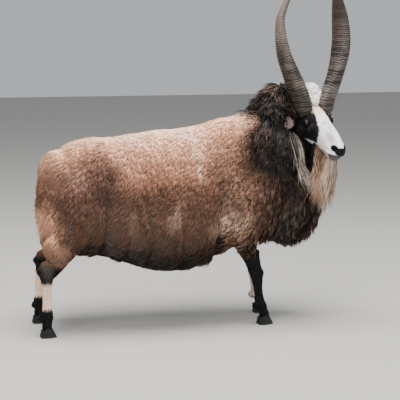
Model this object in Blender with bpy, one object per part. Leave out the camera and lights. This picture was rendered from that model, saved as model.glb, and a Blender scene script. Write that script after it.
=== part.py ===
"""A Jacob ram, life size, standing with its head turned to its right: a still museum model.

Metres, +Z up. +X is forward, +Y is the animal's left, and the floor is Z = 0. The whole
animal is modelled at once and then parted with thin cuts, so its pieces meet face to face.
"""
import math
import random

import bpy
import bmesh
import numpy as np
from mathutils import Matrix, Vector

# Gap left between pieces that touch
GAP = 0.0003
# Edges shorter than this are closed up after a cut
WELD = 0.00003

# The model is built about the middle of its chest line, then moved by this much
# so that the origin lies under the middle of its bounding box.
CENTRE_X = 0.011
CENTRE_Y = -0.0186

# Fleece: where the ruff begins, depth of the wool over the trunk, how much of it the
# smooth core takes, and the number and radius of its rounded clumps
RUFF_LINE = 0.250
WOOL_DEPTH = 0.048
WOOL_CORE = 0.024
CLUMPS = 70
CLUMP_RADIUS = 0.079
# Ruff of long hair on the neck and chest: how much of its depth the core takes, and its locks
HAIR_CORE = 0.024
LOCKS = 24
LOCK_LENGTH = 0.150
LOCK_WIDTH = 0.084
LOCK_THICK = 0.022

# Trunk, to the tips of the wool: x, top, underside, half width
TRUNK = [
    (-0.508, 0.530, 0.440, 0.045),
    (-0.498, 0.568, 0.385, 0.100),
    (-0.474, 0.604, 0.315, 0.150),
    (-0.428, 0.640, 0.250, 0.192),
    (-0.360, 0.658, 0.240, 0.214),
    (-0.260, 0.668, 0.214, 0.222),
    (-0.140, 0.681, 0.184, 0.228),
    (0.000, 0.687, 0.182, 0.226),
    (0.090, 0.712, 0.214, 0.216),
    (0.180, 0.733, 0.252, 0.204),
    (0.270, 0.745, 0.262, 0.186),
    (0.340, 0.700, 0.300, 0.140),
]
TRUNK_SQUARE = 2.35
TRUNK_SIDES = 22

# Neck, ruff and chest, to the tips of the hair, as level slices:
# height, centre x, centre y, half length, half width
RUFF = [
    (0.252, 0.375, 0.000, 0.060, 0.065),
    (0.270, 0.368, 0.000, 0.100, 0.105),
    (0.310, 0.362, 0.000, 0.130, 0.140),
    (0.360, 0.353, -0.002, 0.146, 0.155),
    (0.430, 0.344, -0.004, 0.146, 0.155),
    (0.510, 0.336, -0.004, 0.138, 0.142),
    (0.580, 0.330, -0.002, 0.122, 0.116),
    (0.640, 0.326, 0.002, 0.104, 0.092),
    (0.700, 0.324, 0.004, 0.092, 0.078),
    (0.750, 0.325, 0.004, 0.085, 0.072),
    (0.790, 0.325, 0.002, 0.076, 0.066),
    (0.822, 0.326, 0.000, 0.056, 0.052),
    (0.843, 0.328, 0.000, 0.028, 0.028),
]
RUFF_SIDES = 18

# Wool over thigh and elbow, as level slices: height, centre x, half length, half width
THIGH_Y = 0.120
THIGH = [
    (0.480, -0.395, 0.085, 0.085),
    (0.400, -0.405, 0.088, 0.098),
    (0.330, -0.422, 0.076, 0.088),
    (0.280, -0.442, 0.058, 0.068),
    (0.240, -0.468, 0.044, 0.050),
    (0.208, -0.486, 0.034, 0.036),
    (0.188, -0.492, 0.020, 0.024),
]
ELBOW_Y = 0.110
ELBOW = [
    (0.440, 0.120, 0.085, 0.080),
    (0.370, 0.138, 0.084, 0.084),
    (0.320, 0.158, 0.070, 0.072),
    (0.280, 0.172, 0.052, 0.056),
    (0.252, 0.182, 0.038, 0.040),
    (0.232, 0.190, 0.026, 0.028),
]

# Bare legs: height, centre x, half front to back, half across
HIND_Y = 0.120
HIND_LEG = [
    (0.275, -0.466, 0.042, 0.034),
    (0.240, -0.498, 0.031, 0.024),
    (0.218, -0.509, 0.028, 0.021),
    (0.190, -0.510, 0.020, 0.0175),
    (0.155, -0.510, 0.0145, 0.0130),
    (0.108, -0.510, 0.0140, 0.0128),
    (0.084, -0.510, 0.0170, 0.0175),
    (0.070, -0.509, 0.0175, 0.0180),
    (0.056, -0.509, 0.0160, 0.0165),
    (0.0415, -0.510, 0.0210, 0.0215),
]
FORE_Y = 0.100
FORE_LEG = [
    (0.285, 0.177, 0.041, 0.033),
    (0.255, 0.186, 0.036, 0.030),
    (0.205, 0.206, 0.0240, 0.0210),
    (0.180, 0.214, 0.0235, 0.0220),
    (0.156, 0.218, 0.0185, 0.0180),
    (0.120, 0.222, 0.0142, 0.0134),
    (0.088, 0.227, 0.0150, 0.0145),
    (0.072, 0.231, 0.0178, 0.0182),
    (0.056, 0.237, 0.0160, 0.0168),
    (0.0415, 0.244, 0.0210, 0.0215),
]
LEG_SIDES = 10
# Heights at which the legs are parted from the trunk
HIND_CUT = 0.226
FORE_CUT = 0.244
# Lead of each left foot over the right one
HIND_LEAD = 0.010
FORE_LEAD = 0.046

# Hooves: two claws to a foot
HOOF_HEIGHT = 0.041
HOOF_LENGTH = 0.054
CLAW_WIDTH = 0.0225
CLEFT = 0.0030

# Tail: height, centre x, half length, half width
TAIL = [
    (0.580, -0.482, 0.018, 0.022),
    (0.550, -0.492, 0.026, 0.034),
    (0.490, -0.503, 0.026, 0.038),
    (0.420, -0.504, 0.024, 0.038),
    (0.350, -0.496, 0.022, 0.032),
    (0.312, -0.490, 0.015, 0.020),
    (0.296, -0.487, 0.007, 0.009),
]

# Head pose: the poll, its turn to the right of the body line and its droop
POLL = Vector((0.4150, -0.090, 0.7450))
HEAD_TURN = math.radians(-76.0)
HEAD_DROOP = math.radians(33.0)

# Head, along the face from the back of the skull: place, top, underside, half width
HEAD = [
    (-0.050, -0.030, -0.070, 0.026),
    (-0.036, -0.008, -0.094, 0.041),
    (-0.010, 0.008, -0.114, 0.050),
    (0.019, 0.012, -0.122, 0.053),
    (0.043, 0.012, -0.122, 0.0530),
    (0.062, 0.011, -0.116, 0.0520),
    (0.086, 0.012, -0.105, 0.0425),
    (0.114, 0.013, -0.095, 0.0355),
    (0.143, 0.011, -0.088, 0.0325),
    (0.170, 0.007, -0.083, 0.0308),
    (0.193, 0.001, -0.080, 0.0298),
    (0.209, -0.005, -0.077, 0.0278),
    (0.222, -0.013, -0.068, 0.0235),
    (0.230, -0.024, -0.054, 0.0130),
]
HEAD_SIDES = 20
HEAD_RINGS = 21

# Eyes
EYE_PLACE = Vector((0.060, 0.0468, -0.020))
EYE_RADIUS = 0.0130
EYE_AIM = Vector((0.34, 0.92, 0.12))
LID = 0.0042

# Mouth line and nostrils
MOUTH_BACK = 0.160
MOUTH_HEIGHT = -0.053
MOUTH_CUT = 0.0022
NOSTRIL_PLACE = Vector((0.2140, 0.0160, -0.0180))
NOSTRIL_SIZE = Vector((0.0115, 0.0040, 0.0058))

# Horns: height above the base, out from the middle, forward of the base
HORN_BASE = Vector((0.012, 0.0455, 0.000))
HORN_LINE = [
    (0.000, 0.000, 0.000),
    (0.030, 0.0075, 0.001),
    (0.060, 0.020, 0.001),
    (0.120, 0.046, -0.004),
    (0.180, 0.067, -0.012),
    (0.240, 0.0765, -0.019),
    (0.300, 0.0755, -0.025),
    (0.340, 0.065, -0.019),
    (0.380, 0.050, -0.009),
    (0.440, 0.014, 0.010),
]
# Share of the length, half width along and across the oval, turn of the long axis
HORN_GIRTH = [
    (0.00, 0.0365, 0.0275, 46.0),
    (0.18, 0.0365, 0.0265, 34.0),
    (0.33, 0.0370, 0.0255, 4.0),
    (0.46, 0.0375, 0.0235, -12.0),
    (0.57, 0.0350, 0.0198, -22.0),
    (0.70, 0.0300, 0.0155, -30.0),
    (0.81, 0.0215, 0.0115, -34.0),
    (0.92, 0.0115, 0.0075, -36.0),
    (1.00, 0.0030, 0.0025, -36.0),
]
HORN_RINGS = 31
HORN_SIDES = 9
HORN_RIDGE = 0.0013

# Ears: a cupped leaf that hangs from the side of the head
EAR_ROOT = Vector((-0.004, 0.048, -0.012))
EAR_AIM = Vector((0.45, 0.25, -0.84))
EAR_LENGTH = 0.098
EAR_WIDTH = 0.044
EAR_THICK = 0.0050

scene = bpy.context.scene
for old in list(bpy.data.objects):
    bpy.data.objects.remove(old, do_unlink=True)

model = bpy.data.collections.new("jacob_ram")
cutters = bpy.data.collections.new("cutters")
scene.collection.children.link(model)
scene.collection.children.link(cutters)


# Small tools
def material(name, color, roughness=0.8):
    """A plain Principled material."""
    mat = bpy.data.materials.new(name)
    mat.use_nodes = True
    shader = mat.node_tree.nodes["Principled BSDF"]
    shader.inputs["Base Color"].default_value = (*color, 1.0)
    shader.inputs["Roughness"].default_value = roughness
    shader.inputs["Metallic"].default_value = 0.0
    return mat


def spline(knots, t):
    """Smooth curve through rows of numbers whose first column is the parameter."""
    last = len(knots) - 1
    i = 0
    while i < last - 1 and (knots[i + 1][0] - t) * (knots[last][0] - knots[0][0]) < 0:
        i += 1
    a, b = knots[max(i - 1, 0)], knots[i]
    c, d = knots[i + 1], knots[min(i + 2, last)]
    span = c[0] - b[0]
    u = min(max((t - b[0]) / span, 0.0), 1.0)
    out = []
    for k in range(1, len(b)):
        m0 = (c[k] - a[k]) / (c[0] - a[0]) * span
        m1 = (d[k] - b[k]) / (d[0] - b[0]) * span
        out.append(
            (2 * u**3 - 3 * u**2 + 1) * b[k]
            + (u**3 - 2 * u**2 + u) * m0
            + (3 * u**2 - 2 * u**3) * c[k]
            + (u**3 - u**2) * m1
        )
    return out


def object_from(bm, name, home):
    """Triangulate a bmesh the same way each time and store it as an object."""
    bmesh.ops.triangulate(bm, faces=bm.faces, quad_method="FIXED")
    bmesh.ops.recalc_face_normals(bm, faces=bm.faces)
    if bm.calc_volume(signed=True) < 0:
        bmesh.ops.reverse_faces(bm, faces=bm.faces)
    mesh = bpy.data.meshes.new(name)
    bm.to_mesh(mesh)
    bm.free()
    obj = bpy.data.objects.new(name, mesh)
    home.objects.link(obj)
    return obj


def loft(name, rings, home=cutters):
    """Closed skin over a row of rings that all have the same number of points."""
    bm = bmesh.new()
    rows = [[bm.verts.new(p) for p in ring] for ring in rings]
    count = len(rows[0])
    for low, high in zip(rows, rows[1:]):
        for i in range(count):
            j = (i + 1) % count
            bm.faces.new((low[i], low[j], high[j], high[i]))
    bm.faces.new(rows[0][::-1])
    bm.faces.new(rows[-1])
    return object_from(bm, name, home)


def power(value, square):
    """Signed power that turns a circle into a squarer oval."""
    return math.copysign(abs(value) ** (2.0 / square), value)


def mesh_of(obj):
    """The object's mesh with its modifiers applied."""
    graph = bpy.context.evaluated_depsgraph_get()
    return bpy.data.meshes.new_from_object(obj.evaluated_get(graph))


def combine(base, others, operation):
    """Apply one Boolean of a collection of closed objects, then remove those objects."""
    home = bpy.data.collections.new("operands")
    scene.collection.children.link(home)
    for other in others:
        for owner in list(other.users_collection):
            owner.objects.unlink(other)
        home.objects.link(other)
    mod = base.modifiers.new("combine", "BOOLEAN")
    mod.operation = operation
    mod.operand_type = "COLLECTION"
    mod.collection = home
    mod.solver = "MANIFOLD"
    base.data = mesh_of(base)
    base.modifiers.clear()
    for other in others:
        bpy.data.objects.remove(other, do_unlink=True)
    bpy.data.collections.remove(home)
    return base


def mend(bm):
    """Keep triangles, close up the shortest edges and drop faces that fold onto each other."""
    bmesh.ops.triangulate(bm, faces=bm.faces)
    for _ in range(4):
        short = [e for e in bm.edges if e.calc_length() < WELD]
        if not short:
            break
        bmesh.ops.collapse(bm, edges=short)
        seen = {}
        for face in bm.faces:
            seen.setdefault(frozenset(face.verts), []).append(face)
        doubled = [f for same in seen.values() if len(same) > 1 for f in same]
        bmesh.ops.delete(bm, geom=doubled, context="FACES_ONLY")
        loose = [e for e in bm.edges if not e.link_faces]
        bmesh.ops.delete(bm, geom=loose, context="EDGES")
        stray = [v for v in bm.verts if not v.link_faces]
        bmesh.ops.delete(bm, geom=stray, context="VERTS")


def surfaces(obj):
    """The closed surfaces of an object as separate meshes, largest volume first."""
    bm = bmesh.new()
    bm.from_mesh(obj.data)
    mend(bm)
    todo = set(bm.faces)
    found = []
    while todo:
        group = set()
        edge_of = [todo.pop()]
        while edge_of:
            face = edge_of.pop()
            group.add(face)
            for edge in face.edges:
                for near in edge.link_faces:
                    if near in todo:
                        todo.discard(near)
                        edge_of.append(near)
        found.append(group)
    out = []
    for group in found:
        piece = bmesh.new()
        made = {}
        for face in group:
            for vert in face.verts:
                if vert not in made:
                    made[vert] = piece.verts.new(vert.co)
        for face in group:
            piece.faces.new([made[v] for v in face.verts])
        out.append((piece.calc_volume(signed=True), piece))
    bm.free()
    out.sort(key=lambda pair: -pair[0])
    return out


def keep(piece, name, home=model):
    """Store one closed surface as a finished piece."""
    mesh = bpy.data.meshes.new(name)
    piece.to_mesh(mesh)
    obj = bpy.data.objects.new(name, mesh)
    home.objects.link(obj)
    return obj


def keep_largest(obj):
    """Reduce an object to its largest closed surface."""
    found = surfaces(obj)
    mesh = bpy.data.meshes.new(obj.name)
    found[0][1].to_mesh(mesh)
    obj.data = mesh
    for _, piece in found:
        piece.free()
    return obj


# Trunk, ruff, thighs and legs
def trunk(inset):
    """Barrel of the body, its surface drawn in by the inset."""
    rings = []
    for x, top, low, half in TRUNK:
        squeeze = 1.0 - inset / 0.53
        mid = (top + low) / 2 - 0.02
        ring = []
        for i in range(TRUNK_SIDES):
            a = 2 * math.pi * i / TRUNK_SIDES
            c, s = power(math.cos(a), TRUNK_SQUARE), power(math.sin(a), TRUNK_SQUARE)
            rise = max(top - inset - mid, 0.02) if s > 0 else max(mid - low - inset, 0.02)
            ring.append((x * squeeze, max(half - inset, 0.02) * c, mid + rise * s))
        rings.append(ring)
    return loft("trunk_core", rings)


def slices(name, rows, sides, inset, y=0.0, flip=1.0, lead=0.0):
    """A tapering form from level oval slices."""
    rings = []
    for row in rows:
        z, x = row[0], row[1]
        cy = y if len(row) == 4 else row[2]
        long, wide = row[-2] - inset, row[-1] - inset
        long, wide = max(long, 0.006), max(wide, 0.006)
        ring = []
        for i in range(sides):
            a = 2 * math.pi * (i + 0.5) / sides
            ring.append((x + lead + long * math.cos(a), cy * flip + wide * math.sin(a), z))
        rings.append(ring)
    return loft(name, rings)


def ruff(inset):
    """Neck, mane and chest, drawn in by the inset at the sides, top and bottom."""
    low, high = RUFF[0][0], RUFF[-1][0]
    rows = []
    for z, x, y, long, wide in RUFF:
        z2 = low + inset + (z - low) * (high - low - 2 * inset) / (high - low)
        rows.append((z2, x, y, long, wide))
    return slices("ruff_core", rows, RUFF_SIDES, inset)


def dewclaws(x, y, z):
    """Two small claws at the back of the fetlock."""
    made = []
    for shift in (-0.011, 0.011):
        bm = bmesh.new()
        bmesh.ops.create_cone(
            bm, segments=6, radius1=0.0075, radius2=0.0045, depth=0.020, cap_ends=True
        )
        tilt = Matrix.Rotation(math.radians(28.0), 4, "Y")
        place = Matrix.Translation((x, y + shift, z)) @ tilt
        bmesh.ops.transform(bm, matrix=place, verts=bm.verts)
        made.append(object_from(bm, "dewclaw", cutters))
    return made


def leg(name, kind, side, grow):
    """One leg from its root inside the wool down to the hoof, with its dewclaws."""
    rows = HIND_LEG if kind == "hind" else FORE_LEG
    y = HIND_Y if kind == "hind" else FORE_Y
    lead = (HIND_LEAD if kind == "hind" else FORE_LEAD) if side > 0 else 0.0
    if grow > 0:
        above = (rows[0][0] + grow, *rows[0][1:])
        below = (rows[-1][0] - grow, *rows[-1][1:])
        rows = [above, *rows, below]
    made = [slices(name, rows, LEG_SIDES, -grow, y, side, lead)]
    if grow == 0.0:
        back, high = (0.0165, 0.066) if kind == "hind" else (0.0175, 0.068)
        made += dewclaws(rows[-3][1] + lead - back, y * side, high)
    return made


def claw(name, x, y, inner):
    """One claw of a hoof: a flat sole, an upright wall and a rounded toe."""
    steps = [(0.0, 0.0), (0.35, 0.010), (0.7, 0.020), (1.0, 0.026)]
    rings = []
    for share, back in steps:
        z = share * HOOF_HEIGHT
        length = HOOF_LENGTH - back * 0.62
        width = CLAW_WIDTH * (1.0 - 0.10 * share)
        heel = x - 0.0245 + 0.004 * share
        ring = []
        for i in range(10):
            a = 2 * math.pi * i / 10
            along = 0.5 + 0.5 * power(math.cos(a), 2.4)
            taper = 1.0 - 0.46 * max(along - 0.45, 0.0) / 0.55
            across = 0.5 + 0.5 * power(math.sin(a), 2.6) * taper
            if inner > 0:
                side = CLEFT / 2 + across * width
            else:
                side = -CLEFT / 2 - across * width
            ring.append((heel + along * length, y + side, z))
        rings.append(ring if inner > 0 else ring[::-1])
    return loft(name, rings, model)


# Head
TURN = Matrix.Rotation(HEAD_TURN, 4, "Z")
HEAD_FRAME = Matrix.Translation(POLL) @ TURN @ Matrix.Rotation(HEAD_DROOP, 4, "Y")
HEAD_AXES = HEAD_FRAME.to_3x3()


def mirror(vector, side):
    """The same place on the left (1) or right (-1) of the head."""
    return Vector((vector[0], vector[1] * side, vector[2]))


def bump(x, z, at_x, at_z, spread_x, spread_z):
    """A smooth hill of height one."""
    return math.exp(-(((x - at_x) / spread_x) ** 2) - (((z - at_z) / spread_z) ** 2))


def head_point(x, a, grow):
    """A point of the head's skin: x along the face, a round it from the left side."""
    top, low, half = spline(HEAD, x)
    c, s = math.cos(a), math.sin(a)
    mid = top - (top - low) * 0.42
    roof = power(s, 2.25)
    z = mid + (top + grow - mid) * roof if s > 0 else mid + (mid - low + grow) * roof
    # The jaw narrows below and the bridge of the nose narrows above
    narrow = 1.0
    if s < 0:
        narrow -= 0.42 * (-s) ** 1.4
    if s > 0:
        narrow -= 0.34 * s**2 * min(max((x - 0.03) / 0.06, 0.0), 1.0)
    y = (half + grow) * power(c, 2.2) * narrow
    out = abs(c)
    y_push = 0.0
    # Brow over the eye, cheek, the hollow before the eye, lips and nostril wings
    y_push += 0.0050 * bump(x, z, 0.055, -0.004, 0.019, 0.010)
    y_push += 0.0040 * bump(x, z, 0.038, -0.070, 0.032, 0.026)
    y_push -= 0.0055 * bump(x, z, 0.089, -0.032, 0.013, 0.017)
    y_push += 0.0035 * bump(x, z, 0.196, -0.046, 0.022, 0.007)
    y_push += 0.0030 * bump(x, z, 0.198, -0.066, 0.016, 0.006)
    y_push += 0.0032 * bump(x, z, 0.205, -0.015, 0.011, 0.010)
    y_push -= 0.0020 * bump(x, z, 0.186, -0.028, 0.012, 0.008)
    y += math.copysign(y_push * min(out * 2.5, 1.0), c)
    return Vector((x, y, z))


def skull(grow):
    """The head's skin as a loft along the face, in place."""
    first, last = HEAD[0][0] - grow, HEAD[-1][0] + grow
    rings = []
    for k in range(HEAD_RINGS):
        u = k / (HEAD_RINGS - 1)
        # Rings lie closer towards the muzzle
        x = HEAD[0][0] + (HEAD[-1][0] - HEAD[0][0]) * (u + 0.12 * math.sin(math.pi * u))
        shown = min(max(x, HEAD[0][0]), HEAD[-1][0])
        ring = [
            head_point(shown, 2 * math.pi * (i + 0.5) / HEAD_SIDES, grow)
            for i in range(HEAD_SIDES)
        ]
        if k == 0:
            ring = [Vector((first, p.y, p.z)) for p in ring]
        if k == HEAD_RINGS - 1:
            ring = [Vector((last, p.y, p.z)) for p in ring]
        rings.append([HEAD_FRAME @ p for p in ring])
    return loft("skull", rings)


def horn(name, side, grow, start, stop, count, home):
    """Horn from level sections that turn as they climb."""
    base = HEAD_FRAME @ mirror(HORN_BASE, side)
    ahead = (TURN.to_3x3() @ Vector((1, 0, 0))).normalized()
    out = (TURN.to_3x3() @ Vector((0, side, 0))).normalized()
    top = HORN_LINE[-1][0]

    def axis(t):
        height = t * top
        if height < 0:
            slope_out, slope_on = 0.30, 0.0
            return base + Vector((0, 0, height)) + out * slope_out * height
        sideways, forward = spline(HORN_LINE, height)
        return base + Vector((0, 0, height)) + out * sideways + ahead * forward

    rings = []
    for k in range(count):
        t = start + (stop - start) * k / (count - 1)
        along, across, turn = spline(HORN_GIRTH, max(t, 0.0))
        turn = math.radians(turn)
        ridge = HORN_RIDGE * (1 if k % 2 else -1) * min(1.0, (1.0 - t) * 6.0)
        if grow > 0.0001 or t <= 0.0:
            ridge = HORN_RIDGE if grow > 0.0001 else 0.0
        rise = (axis(t + 0.004) - axis(t - 0.004)).normalized()
        # The long axis starts forward and inward and turns outward
        long = ahead * math.cos(turn) - out * math.sin(turn)
        long = (long - rise * long.dot(rise)).normalized()
        wide = rise.cross(long)
        ring = []
        for i in range(HORN_SIDES):
            a = 2 * math.pi * i / HORN_SIDES
            reach = (along + grow + ridge) * math.cos(a)
            ring.append(axis(t) + long * reach + wide * (across + grow + ridge) * math.sin(a))
        rings.append(ring)
    return loft(name, rings, home)


def ear(name, side, grow, home):
    """Cupped leaf that bends down from its root."""
    root = mirror(EAR_ROOT, side)
    aim = mirror(EAR_AIM.normalized(), side)
    first = Vector((0.0, side, -0.25)).normalized()
    # The cup opens forward
    open_way = Vector((1.0, 0.25 * side, 0.15)).normalized()
    rings = []
    count = 10
    place = root - first * 0.012
    for k in range(count):
        t = k / (count - 1)
        heading = (first * (1 - min(t * 2.4, 1.0)) + aim * min(t * 2.4, 1.0)).normalized()
        if k:
            place = place + heading * (EAR_LENGTH / (count - 1))
        across = heading.cross(open_way).normalized()
        normal = across.cross(heading).normalized()
        width = EAR_WIDTH * (0.40 + 0.60 * math.sin(math.pi * min(t * 0.92 + 0.10, 1.0)) ** 0.8)
        if t > 0.62:
            width *= max(1.0 - ((t - 0.62) / 0.40) ** 2.0, 0.16)
        thick = EAR_THICK * (1.25 - 0.5 * t)
        cup = 0.30 * width * (1.0 - 0.5 * t)
        ring = []
        for i in range(5):
            v = -1 + i / 2
            bend = normal * (cup * v * v + thick / 2 + grow)
            ring.append(place + across * (v * (width / 2 + grow)) + bend)
        for i in range(5):
            v = 1 - i / 2
            bend = normal * (cup * v * v - thick / 2 - grow)
            edge = width / 2 + grow
            ring.append(place + across * (v * edge) + bend)
        rings.append([HEAD_FRAME @ p for p in ring])
    return loft(name, rings, home)


def ball(name, place, size, home, turn=None, segments=16, rings=10):
    """An ellipsoid at a place."""
    bm = bmesh.new()
    bmesh.ops.create_uvsphere(bm, u_segments=segments, v_segments=rings, radius=1.0)
    matrix = Matrix.Translation(place)
    if turn is not None:
        matrix = matrix @ turn
    matrix = matrix @ Matrix.Diagonal((*size, 1.0))
    bmesh.ops.transform(bm, matrix=matrix, verts=bm.verts)
    return object_from(bm, name, home)


def tube_ring(name, centre, aim, radius, thick, home):
    """A rounded ring, such as the rim of the eyelids."""
    rings = []
    aim = aim.normalized()
    side = aim.cross(Vector((0, 0, 1))).normalized()
    up = side.cross(aim)
    bm = bmesh.new()
    around, section = 12, 4
    rows = []
    for k in range(around):
        a = 2 * math.pi * k / around
        way = side * math.cos(a) + up * math.sin(a) * 0.80
        row = []
        for i in range(section):
            b = 2 * math.pi * i / section
            row.append(bm.verts.new(centre + way * (radius + thick * math.cos(b)) + aim * thick * math.sin(b)))
        rows.append(row)
    for k in range(around):
        low, high = rows[k], rows[(k + 1) % around]
        for i in range(section):
            j = (i + 1) % section
            bm.faces.new((low[i], low[j], high[j], high[i]))
    return object_from(bm, name, home)


def mouth_cut():
    """A thin groove that runs round the muzzle at the mouth line."""
    front = 0.2295
    points = []
    for side in (1, -1):
        row = []
        for k in range(9):
            x = MOUTH_BACK + (front - MOUTH_BACK) * math.sin(k / 9 * math.pi / 2)
            height = MOUTH_HEIGHT - 0.010 * (front - x) / 0.07
            nearest = min(
                (head_point(x, -math.pi / 2 + math.pi * n / 59, 0.0) for n in range(60)),
                key=lambda p: abs(p.z - height),
            )
            row.append(Vector((x, nearest.y * side, height)))
        points.append(row)
    line = points[0] + [Vector((front + 0.001, 0.0, MOUTH_HEIGHT + 0.001))] + points[1][::-1]
    line.insert(0, line[0] + Vector((-0.004, 0.006, 0.001)))
    line.append(line[-1] + Vector((-0.004, -0.006, 0.001)))
    rings = []
    for k, p in enumerate(line):
        before, after = line[max(k - 1, 0)], line[min(k + 1, len(line) - 1)]
        inward = Vector((0, 0, 1)).cross((after - before).normalized()).normalized()
        rise = Vector((0, 0, MOUTH_CUT))
        rings.append([
            HEAD_FRAME @ (p + inward * 0.0042),
            HEAD_FRAME @ (p + rise * 0.6),
            HEAD_FRAME @ (p - inward * 0.0040 + rise),
            HEAD_FRAME @ (p - inward * 0.0040 - rise),
            HEAD_FRAME @ (p - rise * 0.6),
        ])
    return loft("mouth_cut", rings)


# Coat forms
def lock(name, root, out, fall, length, width, thick, lift, home=cutters, curl=0.0, grow=0.0):
    """A flat lock of hair that leaves the coat, bends and tapers to its tip."""
    rings = []
    count = 5
    place = root - out * 0.020
    aside = fall.cross(out).normalized()
    for k in range(count):
        t = k / (count - 1)
        heading = (out * (lift * (1 - t) ** 2) + fall * (0.25 + t) + aside * curl * (t - 0.3))
        heading = heading.normalized()
        if k:
            place = place + heading * ((length + 0.020) / (count - 1))
        normal = (out - heading * out.dot(heading)).normalized()
        across = heading.cross(normal)
        w = width / 2 * (0.62 + 0.55 * math.sin(math.pi * min(t * 1.15 + 0.12, 1.0))) * (1 - t**2.2) + 0.0016
        h = thick / 2 * (1 - 0.8 * t) + 0.0012
        rings.append([
            place + across * (w + grow),
            place + normal * (h + grow),
            place - across * (w + grow),
            place - normal * (h + grow),
        ])
    return loft(name, rings, home)


def clump(root, out, radius, rise, home=cutters, grow=0.0):
    """A rounded clump of wool: a five sided dome that sinks into the core."""
    side = out.orthogonal().normalized()
    turn = Matrix.Rotation(random.uniform(0, math.pi), 3, out)
    side = turn @ side
    ahead = out.cross(side)
    rings = []
    for share, height in ((0.80, -0.016), (0.96, 0.18 * rise), (0.56, 0.94 * rise)):
        ring = []
        for i in range(5):
            a = 2 * math.pi * i / 5
            reach = (radius * share + grow) * random.uniform(0.92, 1.08)
            flat = side * (reach * math.cos(a)) + ahead * (reach * math.sin(a))
            ring.append(root + flat + out * (height + (grow if height > 0 else -grow)))
        rings.append(ring)
    return loft("clump", rings, home)


def spread(core, count, accept):
    """Places spread evenly over a mesh, each with its normal."""
    mesh = core.data
    mesh.calc_loop_triangles()
    tris = [t for t in mesh.loop_triangles if t.area > 1e-9]
    picks = random.choices(tris, [t.area for t in tris], k=9000)
    pool = []
    for tri in picks:
        u, v = random.random(), random.random()
        if u + v > 1:
            u, v = 1 - u, 1 - v
        corner = [mesh.vertices[i] for i in tri.vertices]
        place = corner[0].co * (1 - u - v) + corner[1].co * u + corner[2].co * v
        if accept(place):
            pool.append((*place, *tri.normal))
    pool = np.array(pool)
    spots = pool[:count, :3].copy()
    for _ in range(25):
        reach = np.linalg.norm(pool[:, None, :3] - spots[None], axis=2)
        owner = reach.argmin(axis=1)
        for i in range(count):
            if (owner == i).any():
                spots[i] = pool[owner == i, :3].mean(axis=0)
    found = []
    for i in range(count):
        near = pool[np.argsort(np.linalg.norm(pool[:, :3] - spots[i], axis=1))[:25]]
        found.append((Vector(near[0, :3]), Vector(near[:, 3:].mean(axis=0)).normalized()))
    return found


def wool_place(place):
    """True where the trunk carries clumps of wool."""
    if place.x > RUFF_LINE + 0.02:
        return place.z > 0.745
    if place.x < -0.38:
        return place.z > 0.262
    return place.z > 0.262 or abs(place.y) < 0.06 or place.x < 0.10


def hair_place(place):
    """True where the ruff carries hanging locks."""
    return place.x > RUFF_LINE + 0.004 and 0.285 < place.z < 0.755


def fleece(core):
    """Clumps over the trunk and locks over the ruff."""
    random.seed(7)
    made = []
    for place, out in spread(core, CLUMPS, wool_place):
        radius = CLUMP_RADIUS * random.uniform(0.92, 1.08) * (0.72 if place.x > RUFF_LINE else 1.0)
        made.append(clump(place, out, radius, WOOL_DEPTH - WOOL_CORE))
    random.seed(5)
    for place, out in spread(core, LOCKS, hair_place):
        down = Vector((random.uniform(-0.18, 0.10), random.uniform(-0.10, 0.10), -1.0))
        fall = (down - out * down.dot(out) * 0.75).normalized()
        length = LOCK_LENGTH * random.uniform(0.85, 1.10)
        length = max(min(length, (place.z - 0.250) * 1.15), 0.060)
        width = LOCK_WIDTH * random.uniform(0.88, 1.10)
        curl = random.uniform(-0.35, 0.35)
        made.append(lock("lock", place, out, fall, length, width, LOCK_THICK, 0.55, curl=curl))
    return made


def tail_pieces(grow):
    """The tail's core and the wool on its outer side."""
    rows = [(z, x + 0.006, long - 0.008 + grow, wide - 0.006 + grow) for z, x, long, wide in TAIL]
    if grow > 0:
        above = (rows[0][0] + grow, *rows[0][1:])
        below = (rows[-1][0] - grow, *rows[-1][1:])
        rows = [above, *rows, below]
    made = [slices("tail", rows, 12, 0.0)]
    random.seed(3)
    for k in range(7):
        side = 1 if k % 2 else -1
        z = 0.540 - 0.034 * k
        x = spline([(-r[0], r[1], r[2], r[3]) for r in TAIL], -z)[0]
        out = Vector((-1.0, 0.55 * side, 0.1)).normalized()
        root = Vector((x - 0.008, 0.010 * side, z))
        made.append(clump(root, out, 0.031, 0.016, cutters, grow))
    return made


def beard(grow):
    """Hair of the chin and throat, in place on the head."""
    random.seed(31)
    made = []
    rows = [
        (0.198, 0.000, 0.135),
        (0.180, 0.015, 0.160),
        (0.176, -0.014, 0.170),
        (0.150, -0.021, 0.175),
        (0.150, 0.021, 0.175),
        (0.134, 0.002, 0.185),
        (0.118, -0.024, 0.170),
        (0.118, 0.024, 0.170),
    ]
    for x, y, length in rows:
        top, low, half = spline(HEAD, x)
        root = HEAD_FRAME @ Vector((x, y, low + 0.006))
        out = (HEAD_AXES @ Vector((0.25, y * 14, -1.0))).normalized()
        fall = Vector((random.uniform(-0.10, 0.02), random.uniform(-0.06, 0.08), -1.0)).normalized()
        size = length * random.uniform(0.92, 1.06)
        made.append(lock("beard", root, out, fall, size, 0.038, 0.018, 0.25, grow=grow))
    return made


def topknot(grow):
    """Rounded wool that stands between the horns."""
    random.seed(12)
    made = []
    rows = [
        (-0.020, 0.000, 0.050, 0.027),
        (0.006, 0.000, 0.028, 0.024),
        (-0.026, 0.017, 0.036, 0.022),
        (-0.026, -0.017, 0.036, 0.022),
    ]
    for x, y, z, r in rows:
        place = HEAD_FRAME @ Vector((x, y, 0.0)) + Vector((0, 0, z * 0.55))
        turn = Matrix.Rotation(random.uniform(0, 3), 4, "Z")
        size = (r + grow, r + grow, r + z * 0.45 + grow)
        made.append(ball("topknot", place, size, cutters, turn, 7, 5))
    return made


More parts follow.
